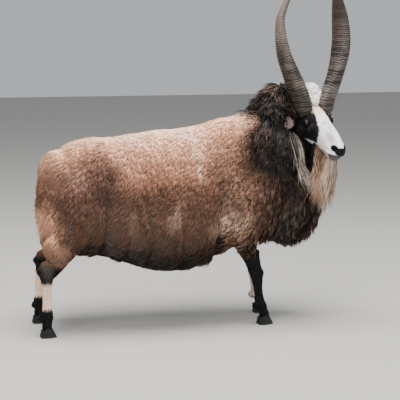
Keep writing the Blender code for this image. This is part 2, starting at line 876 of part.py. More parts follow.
def build():
    """Make the whole animal and part it."""
    # Body with its legs as one solid
    body = trunk(WOOL_CORE)
    parts = [ruff(HAIR_CORE)]
    for side in (1, -1):
        lead_h = HIND_LEAD if side > 0 else 0.0
        lead_f = FORE_LEAD if side > 0 else 0.0
        parts.append(slices("thigh", THIGH, 14, WOOL_CORE * 0.8, THIGH_Y, side, lead_h))
        parts.append(slices("elbow", ELBOW, 14, WOOL_CORE * 0.6, ELBOW_Y, side, lead_f))
    combine(body, parts, "UNION")
    combine(body, fleece(body), "UNION")
    for side, word in ((1, "left"), (-1, "right")):
        for kind, rows, y in (("hind", HIND_LEG, HIND_Y), ("fore", FORE_LEG, FORE_Y)):
            made = leg("leg_" + kind + "_" + word, kind, side, 0.0)
            keep_largest(combine(made[0], made[1:], "UNION"))
            cutters.objects.unlink(made[0])
            model.objects.link(made[0])

    # Head
    head = skull(0.0)
    head_parts = beard(0.0) + topknot(0.0)
    for side in (1, -1):
        head_parts.append(horn("boss", side, 0.0038, -0.060, 0.020, 4, cutters))
        eye = HEAD_FRAME @ mirror(EYE_PLACE, side)
        aim = HEAD_AXES @ mirror(EYE_AIM.normalized(), side)
        head_parts.append(tube_ring("lids", eye + aim * 0.0078, aim, 0.0118, LID, cutters))
    combine(head, head_parts, "UNION")
    head_cuts = [mouth_cut()]
    for side in (1, -1):
        socket = -0.020
        head_cuts.append(horn("horn_room", side, GAP + 0.0001, socket - 0.0008, 1.0, HORN_RINGS, cutters))
        eye = HEAD_FRAME @ mirror(EYE_PLACE, side)
        grown = EYE_RADIUS + GAP + 0.0002
        head_cuts.append(ball("eye_room", eye, (grown, grown, grown), cutters, None, 12, 7))
        spot = HEAD_FRAME @ mirror(NOSTRIL_PLACE, side)
        tilt = Matrix.Rotation(math.radians(38.0), 4, "Y")
        turn = HEAD_AXES.to_4x4() @ Matrix.Rotation(math.radians(-34.0 * side), 4, "Z") @ tilt
        head_cuts.append(ball("nostril", spot, NOSTRIL_SIZE, cutters, turn, 9, 6))
    combine(head, head_cuts, "DIFFERENCE")
    keep_largest(head)
    head.name = "head"
    cutters.objects.unlink(head)
    model.objects.link(head)

    # Ears, horns and eyes
    for side, word in ((1, "left"), (-1, "right")):
        horn("horn_" + word, side, 0.0, -0.020, 1.0, HORN_RINGS, model)
        eye = HEAD_FRAME @ mirror(EYE_PLACE, side)
        ball("eye_" + word, eye, (EYE_RADIUS,) * 3, model, None, 12, 7)
        leaf = ear("ear_" + word, side, 0.0, model)
        shell = horn("boss", side, 0.0038 + GAP, -0.062, 0.022, 4, cutters)
        combine(leaf, [skull(GAP + 0.0001), shell], "DIFFERENCE")
        keep_largest(leaf)

    # Tail
    tail_parts = tail_pieces(0.0)
    tail = combine(tail_parts[0], tail_parts[1:], "UNION")
    keep_largest(tail)
    cutters.objects.unlink(tail)
    model.objects.link(tail)

    # Part the body
    near = GAP + 0.0001
    cuts = [skull(near)] + beard(near) + topknot(near) + tail_pieces(near)
    for side in (1, -1):
        cuts.append(horn("horn_room", side, 0.0038 + GAP, -0.062, 0.022, 4, cutters))
        cuts.append(horn("horn_room", side, GAP + 0.0001, -0.020, 1.0, HORN_RINGS, cutters))
        cuts.append(ear("ear_room", side, GAP + 0.0001, cutters))
        cuts.append(leg("leg_room", "hind", side, near)[0])
        cuts.append(leg("leg_room", "fore", side, near)[0])
    cuts.append(neck_cut())
    combine(body, cuts, "DIFFERENCE")
    split_body(body)
    move_to_origin()


def slab(name, centre, size, turn=None):
    """A thin box that parts two pieces."""
    bm = bmesh.new()
    bmesh.ops.create_cube(bm, size=1.0)
    matrix = Matrix.Translation(centre)
    if turn is not None:
        matrix = matrix @ turn
    matrix = matrix @ Matrix.Diagonal((*size, 1.0))
    bmesh.ops.transform(bm, matrix=matrix, verts=bm.verts)
    return object_from(bm, name, cutters)


def neck_cut():
    """The thin cut between neck and trunk."""
    turn = Matrix.Rotation(math.radians(-3.5), 4, "Y")
    return slab("neck_cut", (RUFF_LINE, 0.0, 0.580), (GAP, 0.8, 0.80), turn)


def split_body(body):
    """Name the two large closed surfaces that the neck cut leaves."""
    found = surfaces(body)
    for volume, piece in found[:2]:
        mid = sum((v.co.x for v in piece.verts), 0.0) / len(piece.verts)
        keep(piece, "neck" if mid > RUFF_LINE - 0.01 else "torso")
    for volume, piece in found:
        piece.free()
    bpy.data.objects.remove(body, do_unlink=True)


def move_to_origin():
    """Set the origin under the middle of the bounding box."""
    shift = Matrix.Translation((-CENTRE_X, -CENTRE_Y, 0.0))
    for obj in model.objects:
        obj.data.transform(shift)
        obj.data.update()


build()

HOOF_SPOTS = [
    ("hind_left", HIND_LEG[-1][1] + HIND_LEAD, HIND_Y),
    ("hind_right", HIND_LEG[-1][1], -HIND_Y),
    ("fore_left", FORE_LEG[-1][1] + FORE_LEAD, FORE_Y),
    ("fore_right", FORE_LEG[-1][1], -FORE_Y),
]
for foot, x, y in HOOF_SPOTS:
    for inner, word in ((1, "a"), (-1, "b")):
        hoof = claw("hoof_" + foot + "_" + word, x, y, inner)
        hoof.data.transform(Matrix.Translation((-CENTRE_X, -CENTRE_Y, 0.0)))

LOOKS = {
    "torso": ("brown_fleece", (0.30, 0.16, 0.11), 0.95),
    "neck": ("black_ruff", (0.03, 0.022, 0.02), 0.9),
    "head": ("black_and_white_hair", (0.35, 0.32, 0.30), 0.8),
    "tail": ("tail_fleece", (0.34, 0.20, 0.14), 0.95),
    "leg": ("leg_hair", (0.05, 0.045, 0.045), 0.8),
    "hoof": ("hoof_horn", (0.035, 0.03, 0.028), 0.5),
    "horn": ("ridged_horn", (0.16, 0.14, 0.11), 0.55),
    "ear": ("ear_hair", (0.30, 0.25, 0.22), 0.85),
    "eye": ("eye", (0.05, 0.03, 0.015), 0.1),
}
for obj in model.objects:
    name, color, rough = LOOKS[obj.name.split("_")[0]]
    obj.data.materials.clear()
    obj.data.materials.append(material(name + "_" + obj.name, color, rough))
for obj in list(cutters.objects):
    obj.hide_render = True
    obj.display_type = "WIRE"
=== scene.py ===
"""Jacob ram, life size: the skin, fleece, hair, horns, eyes and hooves over the solid model."""
import math

import bmesh
import bpy
import numpy as np
from mathutils import Matrix, Vector
from mathutils.bvhtree import BVHTree
from mathutils.kdtree import KDTree


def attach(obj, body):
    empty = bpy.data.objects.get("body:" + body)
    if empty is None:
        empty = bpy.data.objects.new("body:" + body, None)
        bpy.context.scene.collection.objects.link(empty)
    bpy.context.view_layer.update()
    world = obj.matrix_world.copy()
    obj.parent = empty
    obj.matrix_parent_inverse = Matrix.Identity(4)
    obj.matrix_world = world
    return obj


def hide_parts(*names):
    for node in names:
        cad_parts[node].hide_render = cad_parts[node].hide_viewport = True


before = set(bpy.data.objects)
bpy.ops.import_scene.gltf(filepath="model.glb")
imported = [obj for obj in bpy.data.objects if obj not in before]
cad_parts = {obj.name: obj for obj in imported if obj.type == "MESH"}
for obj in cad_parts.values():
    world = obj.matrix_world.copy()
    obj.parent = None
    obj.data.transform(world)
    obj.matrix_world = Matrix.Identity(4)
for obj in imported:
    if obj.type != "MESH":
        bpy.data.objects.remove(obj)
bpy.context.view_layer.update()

# Shapes are worked out about the middle of the chest line, then moved by this much
CENTRE = Vector((0.011, -0.0186, 0.0))
# Depth of the wool and of the long hair over the skin, and where the long hair begins
WOOL_CORE = 0.024
HAIR_CORE = 0.024
RUFF_LINE = 0.250

# Trunk to the tips of the wool: x, top, underside, half width
TRUNK_SQUARE = 2.35
TRUNK = [
    (-0.508, 0.530, 0.440, 0.045),
    (-0.498, 0.568, 0.385, 0.100),
    (-0.474, 0.604, 0.315, 0.150),
    (-0.428, 0.640, 0.250, 0.192),
    (-0.360, 0.658, 0.240, 0.214),
    (-0.260, 0.668, 0.214, 0.222),
    (-0.140, 0.681, 0.184, 0.228),
    (0.000, 0.687, 0.182, 0.226),
    (0.090, 0.712, 0.214, 0.216),
    (0.180, 0.733, 0.252, 0.204),
    (0.270, 0.745, 0.262, 0.186),
    (0.340, 0.700, 0.300, 0.140),
]

# Neck, mane and chest as level slices: height, centre x, centre y, half length, half width
RUFF = [
    (0.252, 0.375, 0.000, 0.060, 0.065),
    (0.270, 0.368, 0.000, 0.100, 0.105),
    (0.310, 0.362, 0.000, 0.130, 0.140),
    (0.360, 0.353, -0.002, 0.146, 0.155),
    (0.430, 0.344, -0.004, 0.146, 0.155),
    (0.510, 0.336, -0.004, 0.138, 0.142),
    (0.580, 0.330, -0.002, 0.122, 0.116),
    (0.640, 0.326, 0.002, 0.104, 0.092),
    (0.700, 0.324, 0.004, 0.092, 0.078),
    (0.750, 0.325, 0.004, 0.085, 0.072),
    (0.790, 0.325, 0.002, 0.076, 0.066),
    (0.822, 0.326, 0.000, 0.056, 0.052),
    (0.843, 0.328, 0.000, 0.028, 0.028),
]

# Wool over thigh, elbow and tail as level slices: height, centre x, half length, half width
THIGH_Y = 0.120
THIGH = [
    (0.560, -0.392, 0.040, 0.034),
    (0.520, -0.393, 0.066, 0.064),
    (0.480, -0.395, 0.085, 0.085),
    (0.400, -0.405, 0.088, 0.098),
    (0.330, -0.422, 0.076, 0.088),
    (0.280, -0.442, 0.058, 0.068),
    (0.240, -0.468, 0.044, 0.050),
    (0.208, -0.486, 0.034, 0.036),
    (0.188, -0.492, 0.020, 0.024),
]
ELBOW_Y = 0.110
ELBOW = [
    (0.440, 0.120, 0.085, 0.080),
    (0.370, 0.138, 0.084, 0.084),
    (0.320, 0.158, 0.070, 0.072),
    (0.280, 0.172, 0.052, 0.056),
    (0.252, 0.182, 0.038, 0.040),
    (0.232, 0.190, 0.026, 0.028),
]
TAIL = [
    (0.550, -0.488, 0.026, 0.034),
    (0.490, -0.499, 0.026, 0.038),
    (0.420, -0.500, 0.024, 0.038),
    (0.350, -0.492, 0.022, 0.032),
    (0.312, -0.486, 0.015, 0.020),
    (0.296, -0.483, 0.007, 0.009),
]

# Bare legs: height, centre x, half front to back, half across
HIND_Y = 0.120
HIND_LEG = [
    (0.275, -0.466, 0.042, 0.034),
    (0.240, -0.498, 0.031, 0.024),
    (0.218, -0.509, 0.028, 0.021),
    (0.190, -0.510, 0.020, 0.0175),
    (0.155, -0.510, 0.0145, 0.0130),
    (0.108, -0.510, 0.0140, 0.0128),
    (0.084, -0.510, 0.0170, 0.0175),
    (0.070, -0.509, 0.0175, 0.0180),
    (0.056, -0.509, 0.0160, 0.0165),
    (0.0415, -0.510, 0.0210, 0.0215),
]
FORE_Y = 0.100
FORE_LEG = [
    (0.285, 0.177, 0.041, 0.033),
    (0.255, 0.186, 0.036, 0.030),
    (0.205, 0.206, 0.0240, 0.0210),
    (0.180, 0.214, 0.0235, 0.0220),
    (0.156, 0.218, 0.0185, 0.0180),
    (0.120, 0.222, 0.0142, 0.0134),
    (0.088, 0.227, 0.0150, 0.0145),
    (0.072, 0.231, 0.0178, 0.0182),
    (0.056, 0.237, 0.0160, 0.0168),
    (0.0415, 0.244, 0.0210, 0.0215),
]
# How far the left legs stand ahead of the right ones
HIND_LEAD = 0.010
FORE_LEAD = 0.046
LEGS = {"hind": (HIND_LEG, HIND_Y, HIND_LEAD), "fore": (FORE_LEG, FORE_Y, FORE_LEAD)}

# Rounded masses of breech, gaskins, neck and shoulders under the wool: centre and radii
MASSES = [
    ((-0.440, 0.0, 0.518), (0.064, 0.130, 0.086)),
    ((-0.470, -HIND_Y, 0.285), (0.043, 0.044, 0.062)),
    ((-0.446, HIND_Y, 0.285), (0.043, 0.044, 0.062)),
]
for side in (1, -1):
    MASSES += [
        ((0.292, 0.044 * side, 0.682), (0.044, 0.056, 0.082)),
        ((0.300, 0.078 * side, 0.580), (0.066, 0.064, 0.100)),
        ((-0.466, 0.066 * side, 0.420), (0.044, 0.062, 0.115)),
        ((0.150, 0.120 * side, 0.430), (0.095, 0.075, 0.120)),
    ]

# Folds in the fleece: places along each fold (x, height), its half width and depth
FOLDS = [
    ([(-0.300, 0.530), (-0.318, 0.430), (-0.308, 0.330), (-0.300, 0.250)], 0.020, 0.013),
    ([(-0.535, 0.488), (-0.498, 0.473), (-0.464, 0.432), (-0.450, 0.380)], 0.020, 0.006),
    ([(0.072, 0.500), (0.060, 0.390), (0.066, 0.310), (0.080, 0.240)], 0.017, 0.016),
    ([(-0.190, 0.470), (-0.180, 0.400), (-0.150, 0.330), (-0.150, 0.250)], 0.013, 0.006),
    ([(-0.380, 0.420), (-0.395, 0.360), (-0.430, 0.300)], 0.013, 0.006),
    ([(-0.060, 0.360), (-0.050, 0.300), (-0.030, 0.240)], 0.011, 0.006),
    ([(-0.235, 0.350), (-0.225, 0.290), (-0.220, 0.230)], 0.010, 0.005),
]

# Hooves: two claws to a foot
HOOF_LENGTH = 0.054
CLAW_WIDTH = 0.0225
CLEFT = 0.0030

# Head pose: the poll, its turn to the right of the body line and its droop
POLL = Vector((0.4150, -0.090, 0.7450))
TURN = Matrix.Rotation(math.radians(-76.0), 4, "Z")
DROOP = Matrix.Rotation(math.radians(33.0), 4, "Y")
HEAD_FRAME = Matrix.Translation(POLL) @ TURN @ DROOP
HEAD_AXES = HEAD_FRAME.to_3x3()
AXES = np.array(HEAD_AXES)

# Head along the face from the back of the skull: place, top, underside, half width
HEAD = [
    (-0.050, -0.030, -0.070, 0.026),
    (-0.036, -0.008, -0.094, 0.041),
    (-0.010, 0.008, -0.114, 0.050),
    (0.019, 0.012, -0.122, 0.053),
    (0.043, 0.012, -0.122, 0.0530),
    (0.062, 0.011, -0.116, 0.0520),
    (0.086, 0.012, -0.105, 0.0425),
    (0.114, 0.013, -0.095, 0.0355),
    (0.143, 0.011, -0.088, 0.0325),
    (0.170, 0.007, -0.083, 0.0308),
    (0.193, 0.001, -0.080, 0.0298),
    (0.209, -0.005, -0.077, 0.0278),
    (0.222, -0.013, -0.068, 0.0235),
    (0.230, -0.024, -0.054, 0.0130),
]
MUZZLE_TIP = 0.2325
# Small forms of the face: rise, place along the face and up, spread both ways
FACE_FORMS = [
    (0.0042, 0.055, -0.004, 0.019, 0.010),  # brow
    (0.0040, 0.038, -0.070, 0.032, 0.026),  # cheek
    (-0.0055, 0.089, -0.032, 0.013, 0.017),  # hollow before the eye
    (0.0035, 0.196, -0.046, 0.022, 0.007),  # upper lip
    (0.0030, 0.198, -0.066, 0.016, 0.006),  # lower lip
    (0.0032, 0.205, -0.015, 0.011, 0.010),  # wing of the nostril
    (-0.0020, 0.186, -0.028, 0.012, 0.008),  # hollow behind it
    (0.0018, 0.085, -0.052, 0.030, 0.006),  # cheek ridge
    (-0.0018, 0.075, -0.082, 0.012, 0.020),  # edge of the jaw muscle
    (0.0012, 0.140, -0.006, 0.040, 0.006),  # shoulder of the nasal bone
]
# Mounds under the wool between the horns: place along and across, height, radius
MOUNDS = [
    (-0.020, 0.000, 0.046, 0.022),
    (0.006, 0.000, 0.022, 0.019),
    (-0.026, 0.019, 0.040, 0.020),
    (-0.026, -0.017, 0.040, 0.018),
    (-0.006, 0.024, 0.030, 0.017),
    (-0.006, -0.020, 0.024, 0.014),
]

EYE_PLACE = Vector((0.060, 0.0455, -0.020))
EYE_RADIUS = 0.0130
EYE_AIM = Vector((0.50, 0.85, 0.12)).normalized()
MOUTH_BACK = 0.160
MOUTH_FRONT = -0.037
MOUTH_SLOPE = 0.40
MOUTH_END = 0.2295
# Each nostril is two hollows: place, half length and half height
NOSTRIL_PLACE = Vector((0.2140, 0.0160, -0.0180))
NOSTRILS = [
    (NOSTRIL_PLACE, 0.0075, 0.0036),
    (NOSTRIL_PLACE + Vector((-0.008, 0.006, 0.0035)), 0.0062, 0.0022),
]
NOSTRIL_LEAN = math.radians(-24.0)

# Ears: a cupped leaf that hangs from the side of the head
EAR_ROOT = Vector((-0.004, 0.048, -0.012))
EAR_AIM = Vector((0.36, 0.52, -0.77)).normalized()
LEFT_EAR_AIM = Vector((0.22, 0.04, -0.95)).normalized()
EAR_LENGTH = 0.098
EAR_WIDTH = 0.044
EAR_THICK = 0.0042

# Horns: height above the base, out from the middle, forward of the base
HORN_BASE = Vector((0.012, 0.0455, 0.000))
HORN_LINE = [
    (0.000, 0.000, 0.000),
    (0.030, 0.0075, 0.001),
    (0.060, 0.020, 0.001),
    (0.120, 0.046, -0.004),
    (0.180, 0.067, -0.012),
    (0.240, 0.0765, -0.019),
    (0.300, 0.0755, -0.025),
    (0.340, 0.065, -0.019),
    (0.380, 0.050, -0.009),
    (0.440, 0.014, 0.010),
]
# Share of the length, half width along and across the oval, turn of the long axis
HORN_GIRTH = [
    (0.00, 0.0365, 0.0275, 46.0),
    (0.18, 0.0365, 0.0265, 34.0),
    (0.33, 0.0370, 0.0255, 4.0),
    (0.46, 0.0375, 0.0235, -12.0),
    (0.57, 0.0350, 0.0198, -22.0),
    (0.70, 0.0300, 0.0155, -30.0),
    (0.81, 0.0215, 0.0115, -34.0),
    (0.92, 0.0115, 0.0075, -36.0),
    (1.00, 0.0030, 0.0025, -36.0),
]

# Pale bib: from behind the jaw, along the throat, to the foot of the beard
BIB_MIDDLE = -0.020
BIB = [
    (0.318, -0.100, 0.632),
    (0.322, -0.118, 0.568),
    (0.345, -0.118, 0.524),
    (0.382, -0.117, 0.478),
    (0.424, -0.104, 0.424),
    (0.452, -0.092, 0.372),
]

# Fleece colours by height, from the belly to the back: partly the fleece's own colour and partly
# painted light, brighter on the back where light falls from above and darker with painted shade
# low on the sides and belly
FLEECE = [
    (0.205, (20, 13, 9)),
    (0.257, (38, 26, 18)),
    (0.297, (68, 46, 33)),
    (0.337, (90, 63, 48)),
    (0.378, (102, 74, 60)),
    (0.418, (103, 74, 60)),
    (0.459, (106, 75, 60)),
    (0.499, (120, 84, 67)),
    (0.536, (150, 108, 87)),
    (0.574, (192, 142, 116)),
    (0.610, (234, 178, 148)),
    (0.645, (255, 206, 178)),
    (0.680, (255, 222, 198)),
]

scene = bpy.context.scene
rng = np.random.default_rng(17)


# Curves and small tools
def spline(knots, t):
    """Smooth curve through rows of numbers whose first column is the parameter."""
    last = len(knots) - 1
    i = 0
    while i < last - 1 and (knots[i + 1][0] - t) * (knots[last][0] - knots[0][0]) < 0:
        i += 1
    a, b = knots[max(i - 1, 0)], knots[i]
    c, d = knots[i + 1], knots[min(i + 2, last)]
    span = c[0] - b[0]
    u = min(max((t - b[0]) / span, 0.0), 1.0)
    out = []
    for k in range(1, len(b)):
        leaving = (c[k] - a[k]) / (c[0] - a[0]) * span
        arriving = (d[k] - b[k]) / (d[0] - b[0]) * span
        out.append(
            (2 * u**3 - 3 * u**2 + 1) * b[k]
            + (u**3 - 2 * u**2 + u) * leaving
            + (3 * u**2 - 2 * u**3) * c[k]
            + (u**3 - u**2) * arriving
        )
    return out


def steps(first, last, count):
    """Evenly spaced numbers from first to last."""
    return [first + (last - first) * k / (count - 1) for k in range(count)]


def angles(sides, shift=0.0):
    """Angles once round, the first one a share of a step from zero."""
    return [2 * math.pi * (i + shift) / sides for i in range(sides)]


def power(value, square):
    """Signed power that turns a circle into a squarer oval."""
    return math.copysign(abs(value) ** (2.0 / square), value)


def smooth(low, high, value):
    """Rise from 0 to 1 as the values go from low to high."""
    u = np.clip((value - low) / (high - low), 0.0, 1.0)
    return u * u * (3 - 2 * u)


def grade(low, high, value):
    """The same rise for a single number."""
    return float(smooth(low, high, value))


def bell(value, at, spread):
    """A bell curve of height one."""
    return math.exp(-(((value - at) / spread) ** 2))


def hill(x, z, at_x, at_z, spread_x, spread_z):
    """A smooth hill of height one."""
    return math.exp(-(((x - at_x) / spread_x) ** 2) - (((z - at_z) / spread_z) ** 2))


def unit(vectors):
    """Vectors scaled to length one."""
    return vectors / np.maximum(np.linalg.norm(vectors, axis=-1, keepdims=True), 1e-9)


def columns(*values):
    """Rows of numbers from one column each, where a single number fills its column."""
    return np.stack(np.broadcast_arrays(*values), axis=1)


def ripple(places, size, seed):
    """Gentle waves over space between about -1 and 1, with bumps of about this size."""
    made = np.random.default_rng(seed)
    total = np.zeros(len(places))
    for _ in range(7):
        way = made.normal(size=3)
        way *= made.uniform(0.7, 1.6) / size / np.linalg.norm(way)
        total += np.sin(places @ way * 3.0 + made.uniform(0, 6.28))
    return total / 3.2


def in_folds(places):
    """How deep each place lies in the folds of the fleece, in metres."""
    flat = places[:, [0, 2]]
    depths = np.zeros(len(places))
    for line, width, depth in FOLDS:
        nearest = np.full(len(places), 9.0)
        for a, b in zip(np.array(line), np.array(line)[1:]):
            share = np.clip(((flat - a) @ (b - a)) / ((b - a) @ (b - a)), 0, 1)
            away = flat - a - share[:, None] * (b - a)
            nearest = np.minimum(nearest, np.linalg.norm(away, axis=1))
        depths = np.maximum(depths, depth * np.exp(-((nearest / width) ** 2)))
    x, out, z = places[:, 0], np.abs(places[:, 1]), places[:, 2]
    depths = depths * smooth(0.02, 0.07, out)
    # Grooves on both sides of the tail
    beside = np.exp(-(((out - 0.048) / 0.013) ** 2))
    behind = 1 - smooth(-0.490, -0.455, x)
    level = smooth(0.30, 0.36, z) * (1 - smooth(0.50, 0.56, z))
    return depths + 0.015 * beside * behind * level


def mirror(vector, side):
    """The same place on the left (1) or right (-1) of the head."""
    return Vector((vector[0], vector[1] * side, vector[2]))


def near_side(place):
    """The same place folded onto the left of the head."""
    return Vector((place.x, abs(place.y), place.z))


def stored(name, mesh):
    """A new object in the scene for a mesh."""
    obj = bpy.data.objects.new(name, mesh)
    scene.collection.objects.link(obj)
    return obj


def mesh_object(name, bm):
    """Store a bmesh as a new object, its faces pointing outwards."""
    bmesh.ops.recalc_face_normals(bm, faces=bm.faces)
    mesh = bpy.data.meshes.new(name)
    bm.to_mesh(mesh)
    bm.free()
    return stored(name, mesh)


def loft(rings):
    """A closed skin bridged over circles whose points are moved to the given places."""
    bm = bmesh.new()
    loops = []
    for ring in rings:
        made = bmesh.ops.create_circle(bm, segments=len(ring), radius=1.0)["verts"]
        for vert, place in zip(made, ring):
            vert.co = place
        loops.append(dict.fromkeys(edge for vert in made for edge in vert.link_edges))
    for near, far in zip(loops, loops[1:]):
        bmesh.ops.bridge_loops(bm, edges=list(near | far))
    for end in (loops[0], loops[-1]):
        bmesh.ops.holes_fill(bm, edges=list(end), sides=0)
    return bm


def ball(centre, radii, around, along, turn=Matrix()):
    """A stretched and turned ball, its faces in the same order every run."""
    bm = bmesh.new()
    bmesh.ops.create_uvsphere(bm, u_segments=around, v_segments=along, radius=1.0)
    bm.verts.index_update()
    count = len(bm.verts)

    def rank(face):
        first, second, third = sorted(vert.index for vert in face.verts)[:3]
        return (first * count + second) * count + third

    bm.faces.sort(key=rank)
    place = Matrix.Translation(centre) @ turn @ Matrix.Diagonal((*radii, 1.0))
    bmesh.ops.transform(bm, matrix=place, verts=bm.verts)
    return bm


def slices(rows, sides, inset, y=0.0, flip=1.0, lead=0.0):
    """A tapering form lofted over level ovals."""
    rings = []
    for z in steps(rows[0][0], rows[-1][0], 40):
        row = spline(rows, z)
        if len(row) == 3:
            row.insert(1, y)
        long, wide = max(row[2] - inset, 0.005), max(row[3] - inset, 0.005)
        x, y_here = row[0] + lead, row[1] * flip
        rings.append([
            (x + long * math.cos(a), y_here + wide * math.sin(a), z) for a in angles(sides, 0.5)
        ])
    return loft(rings)


def coordinates(vectors, name="co"):
    """All places, or other vectors, of a mesh's points as an array."""
    values = np.empty(len(vectors) * 3)
    vectors.foreach_get(name, values)
    return values.reshape(-1, 3)


def settled(obj):
    """Apply an object's modifiers to its mesh."""
    graph = bpy.context.evaluated_depsgraph_get()
    obj.data = bpy.data.meshes.new_from_object(obj.evaluated_get(graph))
    obj.modifiers.clear()


# Body, legs, head and ears
def trunk():
    """Barrel of the body at the foot of the wool."""
    rings = []
    squeeze = 1.0 - WOOL_CORE / 0.53
    for x in steps(TRUNK[0][0], TRUNK[-1][0], 60):
        top, low, half = spline(TRUNK, x)
        mid = (top + low) / 2 - 0.02
        above, below = max(top - WOOL_CORE - mid, 0.02), max(mid - low - WOOL_CORE, 0.02)
        ring = []
        for a in angles(56):
            c, s = power(math.cos(a), TRUNK_SQUARE), power(math.sin(a), TRUNK_SQUARE)
            rise = (above if s > 0 else below) * s
            ring.append((x * squeeze, max(half - WOOL_CORE, 0.02) * c, mid + rise))
        rings.append(ring)
    return loft(rings)


def body_form():
    """Trunk, neck, thighs, elbows and tail melted together and softened."""
    low, high = RUFF[0][0], RUFF[-1][0]
    neck = []
    for z, x, y, long, wide in RUFF:
        level = low + HAIR_CORE + (z - low) * (high - low - 2 * HAIR_CORE) / (high - low)
        trim = 1 - grade(0.28, 0.40, z)
        neck.append((level + 0.012 * trim, x - 0.022 * trim, y, long - 0.014 * trim, wide))
    forms = [trunk(), slices(neck, 48, HAIR_CORE), slices(TAIL, 32, 0.012)]
    for side in (1, -1):
        hind, fore = HIND_LEAD * (side > 0), FORE_LEAD * (side > 0)
        forms.append(slices(THIGH, 36, WOOL_CORE * 0.8, THIGH_Y, side, hind))
        forms.append(slices(ELBOW, 36, WOOL_CORE * 0.6, ELBOW_Y, side, fore))
    forms += [ball(centre, radii, 28, 18) for centre, radii in MASSES]
    whole = bmesh.new()
    for form in forms:
        bmesh.ops.recalc_face_normals(form, faces=form.faces)
        part = bpy.data.meshes.new("form")
        form.to_mesh(part)
        form.free()
        whole.from_mesh(part)
    obj = mesh_object("body_form", whole)
    melt = obj.modifiers.new("melt", "REMESH")
    melt.mode = "VOXEL"
    melt.voxel_size = 0.0075
    settled(obj)
    bm = bmesh.new()
    bm.from_mesh(obj.data)
    for _ in range(10):
        bmesh.ops.smooth_vert(
            bm, verts=bm.verts, factor=0.5, use_axis_x=True, use_axis_y=True, use_axis_z=True
        )
    bm.normal_update()
    places = np.array([v.co for v in bm.verts])
    swell = ripple(places, 0.13, 3) * 0.0040 + ripple(places, 0.050, 4) * 0.0016
    for vert, rise in zip(bm.verts, swell - in_folds(places)):
        vert.co += vert.normal * rise
    bm.to_mesh(obj.data)
    bm.free()
    return obj


def leg_form(kind, side):
    """One leg with its joint bones and tendons, reaching into wool and hoof."""
    rows, y, lead = LEGS[kind]
    foot = rows[-1][1]
    ends = [(0.040, foot - 0.001, 0.0175, 0.0195), (0.018, foot - 0.003, 0.0140, 0.0150)]
    rows = rows[:-1] + ends
    top, hind = rows[0][0], kind == "hind"
    rings = []
    for z in steps(top, rows[-1][0] + 0.0005, 84):
        x, long, wide = spline(rows, z)
        # The top is drawn in so that it ends inside the thigh or the elbow
        drawn = 1 - 0.75 * grade(top - 0.030, top - 0.004, z)
        long, wide = long * drawn, wide * drawn
        if hind and side > 0:
            x += 0.014 * grade(0.140, 0.215, z)
        x += lead * (side > 0)
        ring = []
        for a in angles(40, 0.5):
            c, s = math.cos(a), math.sin(a)
            near = 1.0
            if hind:
                # Point of the hock behind, tendon line and flat sides above it
                near += 0.16 * bell(z, 0.222, 0.012) * max(-c, 0.0) ** 6
                near -= 0.10 * bell(z, 0.246, 0.020) * bell(c, -0.55, 0.25)
            else:
                # Knee cap in front, carpal knob behind
                near += 0.07 * bell(z, 0.186, 0.012) * max(c, 0.0) ** 2
                near += 0.10 * bell(z, 0.192, 0.008) * max(-c, 0.0) ** 4
            # Groove between cannon bone and tendons
            cannon = grade(0.085, 0.10, z) * (1 - grade(0.150, 0.165, z))
            near -= 0.09 * cannon * bell(c, -0.35, 0.22)
            # Swell of the fetlock and the split of the pastern
            near += 0.06 * bell(z, 0.076, 0.009) * max(-c, 0.0) ** 2
            near -= 0.12 * (1 - grade(0.045, 0.062, z)) * max(abs(c) - 0.80, 0.0) / 0.2
            ring.append((x + long * near * c, y * side + wide * near * s, z))
        rings.append(ring)
    return mesh_object("leg_form", loft(rings))


def dewclaw_forms():
    """Two small claws at the back of each fetlock."""
    made = []
    lean = Matrix.Rotation(math.radians(28.0), 4, "Y")
    for side in (1, -1):
        for kind, back, z in (("hind", 0.0165, 0.066), ("fore", 0.0175, 0.068)):
            rows, y, lead = LEGS[kind]
            x = rows[-3][1] + lead * (side > 0) - back
            for shift in (-0.011, 0.011):
                form = ball((x, y * side + shift, z), (0.0070, 0.0066, 0.0100), 14, 10, lean)
                made.append(mesh_object("dewclaw", form))
    return made


def head_point(x, a):
    """A point of the head's skin: x along the face, a round it from the left side."""
    shown = min(x, HEAD[-1][0])
    top, low, half = spline(HEAD, shown)
    if x > shown:
        close = math.sqrt(max(1.0 - ((x - shown) / (MUZZLE_TIP - shown)) ** 2, 0.02))
        mid = (top + low) / 2
        top, low, half = mid + (top - mid) * close, mid + (low - mid) * close, half * close
    c, s = math.cos(a), math.sin(a)
    mid = top - (top - low) * 0.42
    roof = power(s, 2.25)
    if s > 0:
        z = mid + (top - mid) * roof
        narrow = 1.0 - 0.40 * s**2 * min(max((x - 0.03) / 0.06, 0.0), 1.0)
    else:
        z = mid + (mid - low) * roof
        narrow = 1.0 - 0.42 * (-s) ** 1.4
    y = half * power(c, 2.2) * narrow
    push = sum(rise * hill(x, z, *form) for rise, *form in FACE_FORMS)
    y += math.copysign(push * min(abs(c) * 2.5, 1.0), c)
    return Vector((x, y, z))


def mouth_level(x):
    """Height of the mouth line at a place along the face."""
    return MOUTH_FRONT - MOUTH_SLOPE * (MOUTH_END - min(x, MOUTH_END))


